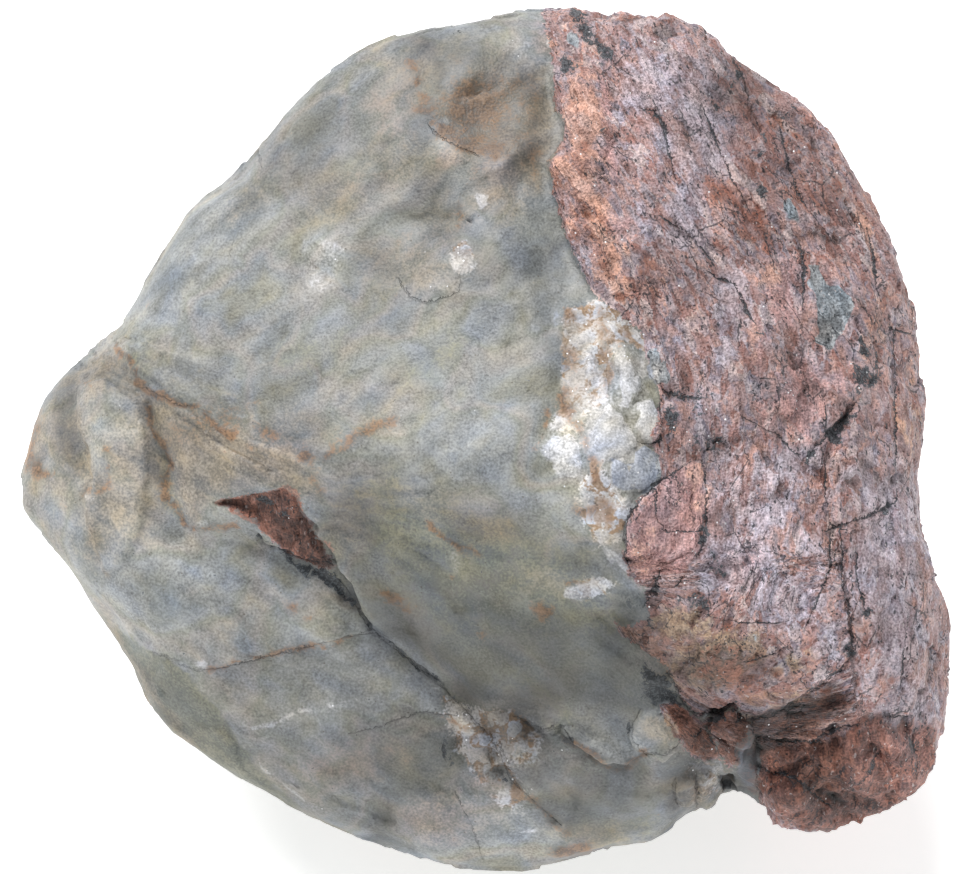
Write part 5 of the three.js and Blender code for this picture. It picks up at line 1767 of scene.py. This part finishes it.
@dataclass(frozen=True)
class Wash:
    """How a tint is laid on: its two colours, and how ragged and how soft its edge is."""

    light: Colour
    dark: Colour
    opacity: float
    ragged: float
    soft: float


Washes = tuple[tuple[Tint, Wash], ...]


class Ground:
    """What both rocks of the stone read: its attributes and the noises they share."""

    MEDIUM = 2.2  # the size of the coarser noise's swells, in mm
    FINE = 0.55
    SPECK = 0.6

    def __init__(self, graph: Graph) -> None:
        """Adds the nodes.

        Args:
            graph: the material's graph.
        """
        place = graph.vector("place")
        self.sheets = graph.vector("sheets")
        self.medium = graph.noise(place, self.MEDIUM, 2.0) - 0.5
        self.fine = graph.noise(place, self.FINE, 1.0) - 0.5
        self.grit = self.medium.plus(0.5, self.fine)
        self.specks = graph.crystals(place, self.SPECK)
        self.vein_edge, self.crack_side, self.crack_near = graph.parts("edges")
        # form: how low each place lies, the drawn tone with painted light and shade, and a slow
        # noise
        self.hollow, self.facets, self.gate = graph.parts("form")
        self.rubble, self.pebble, self.dome = graph.parts("rubble")
        self.clouds, self.mottle, self.streaking = graph.parts("clouds")
        self.warmth, self.brushed, self.flakes = graph.parts("hues")
        groups = range(len(Tint) // 3)
        covers = [part for group in groups for part in graph.parts(f"tints_{group}")]
        self.tints = dict(zip(Tint, covers))


@dataclass(frozen=True)
class StoneFinish:
    """The stone's material: grey quartz and pink granite with their stains and cracks.

    Its sizes are in mm across and along the sheets and through the stone. Some of its colour is
    painted light and shade, and painted highlights.
    """

    name: str = "quartz_and_granite"
    quartz_tones: Stops = (
        (0.28, (0.198, 0.210, 0.212)),
        (0.40, (0.295, 0.302, 0.304)),
        (0.48, (0.250, 0.252, 0.222)),
        (0.55, (0.315, 0.296, 0.275)),
        (0.63, (0.240, 0.250, 0.252)),
        (0.74, (0.205, 0.202, 0.168)),
    )
    granite_tones: Stops = (
        (0.00, (0.24, 0.115, 0.095)),
        (0.16, (0.40, 0.275, 0.275)),
        (0.32, (0.30, 0.150, 0.130)),
        (0.44, (0.40, 0.325, 0.350)),
        (0.58, (0.48, 0.285, 0.250)),
        (0.72, (0.27, 0.215, 0.250)),
        (0.86, (0.60, 0.470, 0.460)),
        (1.00, (0.24, 0.105, 0.085)),
    )
    rubble_tones: Stops = (
        (0.00, (0.36, 0.35, 0.32)),
        (0.25, (0.56, 0.56, 0.60)),
        (0.45, (0.48, 0.42, 0.36)),
        (0.65, (0.68, 0.68, 0.72)),
        (0.85, (0.46, 0.49, 0.55)),
        (1.00, (0.60, 0.56, 0.51)),
    )
    rubble_gap: Colour = (0.38, 0.235, 0.13)
    # black and dark grey of mica, also used for the painted shadow in the crack under the red chip
    mica: Colour = (0.018, 0.023, 0.030)
    pale_mica: Colour = (0.105, 0.120, 0.135)
    # near-white of the painted highlights
    painted_highlight: Colour = (0.92, 0.92, 0.94)
    pale_crystal: Colour = (0.62, 0.54, 0.53)
    pit: Colour = (0.09, 0.07, 0.05)
    quartz_warmth: Triple = (0.068, 0.01, -0.115)
    granite_warmth: Triple = (0.09, -0.03, -0.13)
    streak_size: Triple = (0.95, 4.2, 3.0)
    block_size: Triple = (1.9, 5.2, 4.4)
    fleck_size: Triple = (0.42, 1.3, 0.9)
    joint_size: Triple = (6.0, 10.0, 8.0)
    refraction: float = 1.5

    QUARTZ_WASHES = (
        (Tint.OLIVE, Wash((0.225, 0.222, 0.150), (0.150, 0.158, 0.105), 0.7, 1.1, 0.4)),
        # painted shade and darker grey
        (Tint.SHADE, Wash((0.165, 0.172, 0.160), (0.092, 0.102, 0.098), 0.8, 1.0, 0.45)),
        (Tint.BLUSH, Wash((0.300, 0.235, 0.230), (0.215, 0.168, 0.175), 0.65, 0.8, 0.4)),
        (Tint.TAN, Wash((0.305, 0.255, 0.200), (0.250, 0.205, 0.155), 0.72, 0.9, 0.5)),
        (Tint.MILK, Wash((0.540, 0.535, 0.560), (0.460, 0.455, 0.470), 0.72, 0.3, 0.22)),
        (Tint.LENS, Wash((0.360, 0.390, 0.470), (0.280, 0.310, 0.385), 0.8, 0.3, 0.2)),
        (Tint.RUST, Wash((0.255, 0.142, 0.076), (0.146, 0.077, 0.041), 0.76, 1.4, 0.42)),
        (Tint.BRICK, Wash((0.300, 0.140, 0.110), (0.170, 0.085, 0.070), 0.7, 1.4, 0.3)),
    )
    GRANITE_WASHES = (
        (Tint.TAN, Wash((0.36, 0.260, 0.175), (0.18, 0.118, 0.078), 0.85, 1.4, 0.35)),
        (Tint.MAUVE, Wash((0.46, 0.410, 0.470), (0.25, 0.215, 0.26), 0.7, 1.3, 0.3)),
        (Tint.PINK, Wash((0.52, 0.310, 0.30), (0.37, 0.20, 0.195), 0.75, 1.2, 0.3)),
        (Tint.EMBER, Wash((0.62, 0.355, 0.260), (0.40, 0.19, 0.125), 0.65, 1.6, 0.35)),
        (Tint.BRICK, Wash((0.25, 0.100, 0.068), (0.11, 0.046, 0.036), 0.85, 1.4, 0.3)),
        (Tint.LENS, Wash((0.33, 0.36, 0.38), (0.21, 0.24, 0.26), 0.9, 0.7, 0.1)),
    )

    def build(self) -> bpy.types.Material:
        """Makes the material.

        Returns:
            The material, with its node tree.
        """
        material = bpy.data.materials.new(self.name)
        graph = Graph(material)
        ground = Ground(graph)
        edge = ground.vein_edge.plus(3.0, ground.medium).plus(1.0, ground.fine)
        granite = edge.step(-0.2, 0.2)
        quartz_colour, quartz_height = self.quartz(graph, ground)
        granite_colour, granite_height = self.granite(graph, ground)
        colour = graph.mix(granite, quartz_colour, granite_colour)
        # Black mica and dark spots, with painted shadow in the crack under the red chip, and the
        # dark crack lines.
        mica_and_shadow = self.spread(ground, Tint.SOOT, ground.grit, 2.4, 0.12, 0.94)
        line = self.crack_line(ground)
        dark = mica_and_shadow.most(line * (granite * 0.62 + 0.28))
        speckle = ground.fine.plus(0.5, ground.medium).step(0.0, 0.12, 0.8)
        black = graph.mix(speckle, self.mica, self.pale_mica)
        colour = graph.mix(dark, colour, black)
        # Painted light and shade: darker in the relief's hollows, most in the granite, lighter on
        # its rises, plus the drawn patches of tone and painted light and shade.
        painted_hollow_shade = ground.hollow.step(0.5, 1.0) * (granite * 0.4 + 0.28)
        level = ground.facets + ground.hollow.step(0.5, 0.1, 0.14) - painted_hollow_shade + 1
        colour = graph.shaded(colour, level)
        # Painted highlights: near-white specks mixed into the colour, with lower roughness.
        painted_highlights = self.painted_highlights(ground, granite)
        colour = graph.mix(painted_highlights, colour, self.painted_highlight)
        roughness = (granite * 0.15 + 0.52).plus(0.3, ground.medium).plus(-0.4, painted_highlights)
        height = granite * granite_height + (1 - granite) * quartz_height
        bump = graph.node(
            "Bump",
            {},
            {"Strength": 1.0, "Distance": MM, "Height": height.plus(-0.3, line)},
        )
        graph.surface(
            {
                "Base Color": colour,
                "Roughness": roughness,
                "Normal": bump.outputs[0],
                "IOR": self.refraction,
            }
        )
        return material

    @staticmethod
    def spread(
        ground: Ground, tint: Tint, rough: Value, ragged: float, soft: float, top: float
    ) -> Value:
        """How much of a tint shows, up to `top`: its cover, broken up by a noise round 0."""
        return ground.tints[tint].plus(ragged, rough).step(0.5 - soft, 0.5 + soft, top)

    def washed(
        self, graph: Graph, ground: Ground, colour: Socket, washes: Washes, rough: Value
    ) -> Socket:
        """Lays tints over a colour.

        Args:
            graph: the material's graph.
            ground: what the stone reads.
            colour: the colour under them.
            washes: each tint with its wash, the lowest first.
            rough: the noise round 0 that breaks up their edges and mixes their two colours.

        Returns:
            The colour with the tints on it.
        """
        lightness = rough.step(-0.15, 0.15)
        for tint, wash in washes:
            share = self.spread(ground, tint, rough, wash.ragged, wash.soft, wash.opacity)
            tone = graph.mix(lightness, wash.dark, wash.light)
            colour = graph.mix(share, colour, tone)
        return colour

    def quartz(self, graph: Graph, ground: Ground) -> tuple[Socket, Value]:
        """Lays out the quartz.

        Args:
            graph: the material's graph.
            ground: what the stone reads.

        Returns:
            The colour, and the height in mm for the bump.
        """
        colour = graph.ramp(ground.clouds * 0.3 + 0.5, self.quartz_tones)
        colour = self.rubble(graph, ground, colour)
        rough = ground.grit.plus(0.15, ground.mottle).plus(0.15, ground.brushed)
        colour = self.washed(graph, ground, colour, self.QUARTZ_WASHES, rough)
        warmth = ground.warmth.plus(0.7, ground.brushed)
        colour = graph.warmed(colour, warmth, self.quartz_warmth)
        level = (ground.streaking * 0.22 + 1).plus(0.16, ground.mottle).plus(0.14, ground.brushed)
        colour = graph.shaded(colour, level.plus(0.6, ground.medium).plus(1.15, ground.fine))
        pits = ground.specks[1].step(0.988, 0.992, 0.6) * ground.specks[2].step(0.42, 0.25)
        colour = graph.mix(pits, colour, self.pit)
        return colour, (ground.medium * 0.12).plus(0.08, ground.fine)

    def rubble(self, graph: Graph, ground: Ground, colour: Socket) -> Socket:
        """Colours the pebbly lumps, each in its own tone, with stained gaps between them.

        Args:
            graph: the material's graph.
            ground: what the stone reads.
            colour: the colour of the quartz round them.

        Returns:
            The colour with the lumps on it.
        """
        stone = graph.ramp(ground.pebble.plus(0.15, ground.medium), self.rubble_tones)
        top = ground.dome.plus(0.6, ground.grit).plus(0.25, ground.warmth)
        stone = graph.mix(top.step(0.0, 0.25), self.rubble_gap, stone)
        cover = ground.rubble.plus(1.0, ground.grit).step(0.25, 0.6, 0.9)
        return graph.mix(cover, colour, stone)

    def granite(self, graph: Graph, ground: Ground) -> tuple[Socket, Value]:
        """Lays out the granite.

        Args:
            graph: the material's graph.
            ground: what the stone reads.

        Returns:
            The colour, and the height in mm for the bump.
        """
        medium, fine = ground.medium, ground.fine
        pulled = graph.pulled(ground.sheets, medium, 3.2)
        streaks = graph.noise(graph.scaled(ground.sheets, self.streak_size), 1.0, 2.0, 0.6) - 0.5
        tone, chance, _ = graph.crystals(graph.scaled(pulled, self.block_size), 1.0)
        blotch = (tone * 0.7 + 0.15).plus(0.14, ground.streaking).plus(0.2, ground.flakes)
        blotch = blotch.plus(0.25, medium)
        colour = graph.ramp(blotch, self.granite_tones)
        rough = (medium * 0.6).plus(0.5, streaks).plus(0.3, ground.flakes).plus(0.2, fine)
        colour = self.washed(graph, ground, colour, self.GRANITE_WASHES, rough)
        colour = graph.warmed(colour, ground.warmth, self.granite_warmth)
        level = (chance * 0.2 + 0.91).plus(1.1, streaks).plus(0.12, ground.flakes)
        colour = graph.shaded(colour, level.plus(1.7, fine).plus(0.35, medium))
        fleck, pale, middle = graph.crystals(graph.scaled(pulled, self.fleck_size), 1.0)
        dark = fleck.plus(-0.13, ground.gate).step(0.11, 0.07, 0.85) * middle.step(0.6, 0.4)
        light = pale.step(0.93, 0.96, 0.5) * middle.step(0.55, 0.35)
        colour = graph.mix(light, colour, self.pale_crystal)
        joint = graph.edges(graph.scaled(pulled, self.joint_size))
        joints = joint.plus(0.03, fine).step(0.026, 0.008, 0.75) * ground.gate.step(-0.1, 0.25)
        colour = graph.mix(dark.most(joints), colour, self.mica)
        height = (streaks * 0.75).plus(0.5, medium).plus(0.3, fine)
        return colour, height

    @staticmethod
    def crack_line(ground: Ground) -> Value:
        """The dark line down the middle of each drawn crack, thin and broken in places.

        Args:
            ground: what the stone reads.

        Returns:
            How dark the line is, from 0 to 1.
        """
        across = abs(ground.crack_side.plus(3.2, ground.medium).plus(1.4, ground.fine))
        drawn = across.plus(-0.55, ground.mottle).step(0.48, 0.12)
        return drawn * ground.crack_near.step(2.6, 1.8)

    @staticmethod
    def painted_highlights(ground: Ground, granite: Value) -> Value:
        """Painted highlights: tiny near-white specks where mica and broken crystal catch the
        light.

        Args:
            ground: what the stone reads.
            granite: how far the stone is granite, from 0 to 1.

        Returns:
            How bright they are, from 0 to 0.9.
        """
        milk = ground.tints[Tint.MILK].most(0)
        rare = ground.specks[0].plus(0.03, milk).plus(0.02, ground.rubble).plus(0.008, granite)
        return rare.step(1.0, 1.003, 0.9) * ground.specks[2].step(0.45, 0.25)


@dataclass
class Studio:
    """The floor, the lights and the camera. Its lengths are in metres."""

    floor_size: float = 60.0
    floor_colour: Colour = (0.90, 0.905, 0.90)
    floor_roughness: float = 0.9
    floor_gloss: float = 0.1
    floor_glow: float = 0.65
    key_strength: float = 3.4
    key_spread: float = 40.0
    key_colour: Colour = (1.0, 0.995, 0.985)
    key_place: Triple = (-0.30, 0.34, 0.95)
    key_aim: Triple = (0, 0, 0.07)
    sky_colour: Colour = (0.95, 0.98, 1.0)
    sky_level: float = 0.42
    sensor_mm: float = 36.0
    clip: Span = (0.01, 100.0)
    drawing: Drawing = field(default_factory=Drawing)

    def build(self) -> None:
        """Makes the whole studio."""
        self.lay_floor()
        self.hang_light()
        self.fill_sky()
        self.place_camera()

    def lay_floor(self) -> None:
        """Lays the plain pale floor under the stone."""
        bpy.ops.object.select_all(action="DESELECT")
        bpy.ops.mesh.primitive_plane_add(size=self.floor_size)
        floor = bpy.context.active_object
        floor.name = "floor"
        material = bpy.data.materials.new("pale_floor")
        Graph(material).surface(
            {
                "Base Color": self.floor_colour,
                "Roughness": self.floor_roughness,
                "Specular IOR Level": self.floor_gloss,
                "Emission Color": self.floor_colour,
                "Emission Strength": self.floor_glow,
            }
        )
        floor.data.materials.append(material)

    def hang_light(self) -> None:
        """Hangs one broad soft light above the stone, a little to the left and behind it."""
        lamp = bpy.data.lights.new("overhead_light", "SUN")
        lamp.energy = self.key_strength
        lamp.angle = math.radians(self.key_spread)
        lamp.color = self.key_colour
        hung = bpy.data.objects.new("overhead_light", lamp)
        bpy.context.scene.collection.objects.link(hung)
        hung.location = self.key_place
        aim = Vector(self.key_aim) - Vector(self.key_place)
        hung.rotation_euler = aim.to_track_quat("-Z", "Y").to_euler()

    def fill_sky(self) -> None:
        """Fills in from all round with a plain white sky."""
        world = bpy.data.worlds.new("soft_sky")
        world.use_nodes = True
        background = world.node_tree.nodes["Background"]
        background.inputs["Color"].default_value = (*self.sky_colour, 1.0)
        background.inputs["Strength"].default_value = self.sky_level
        bpy.context.scene.world = world

    def place_camera(self) -> None:
        """Sets the camera before the broad face, where the drawing's eye is."""
        drawing = self.drawing
        camera = bpy.data.cameras.new("camera")
        camera.sensor_width = self.sensor_mm
        camera.lens = camera.sensor_width * drawing.eye_distance / drawing.view_width
        camera.clip_start, camera.clip_end = self.clip
        eye = bpy.data.objects.new("camera", camera)
        bpy.context.scene.collection.objects.link(eye)
        back = drawing.towards_eye()
        eye.location = Vector(drawing.middle) * MM + back * (drawing.eye_distance * MM)
        eye.rotation_euler = (-back).to_track_quat("-Z", "Y").to_euler()
        bpy.context.scene.camera = eye
        bpy.context.scene.view_settings.view_transform = "Standard"


def main() -> None:
    """Builds the stone, its finish and the studio."""
    logging.basicConfig(level=logging.INFO, format="%(name)s: %(message)s")
    stone = Boulder().build()
    LOG.info("%s: %d triangles", stone.name, len(stone.data.polygons))
    finish = StoneFinish().build()
    stone.data.materials.append(finish)
    LOG.info("%s: %d nodes", finish.name, len(finish.node_tree.nodes))
    Studio().build()


if __name__ == "__main__":
    main()
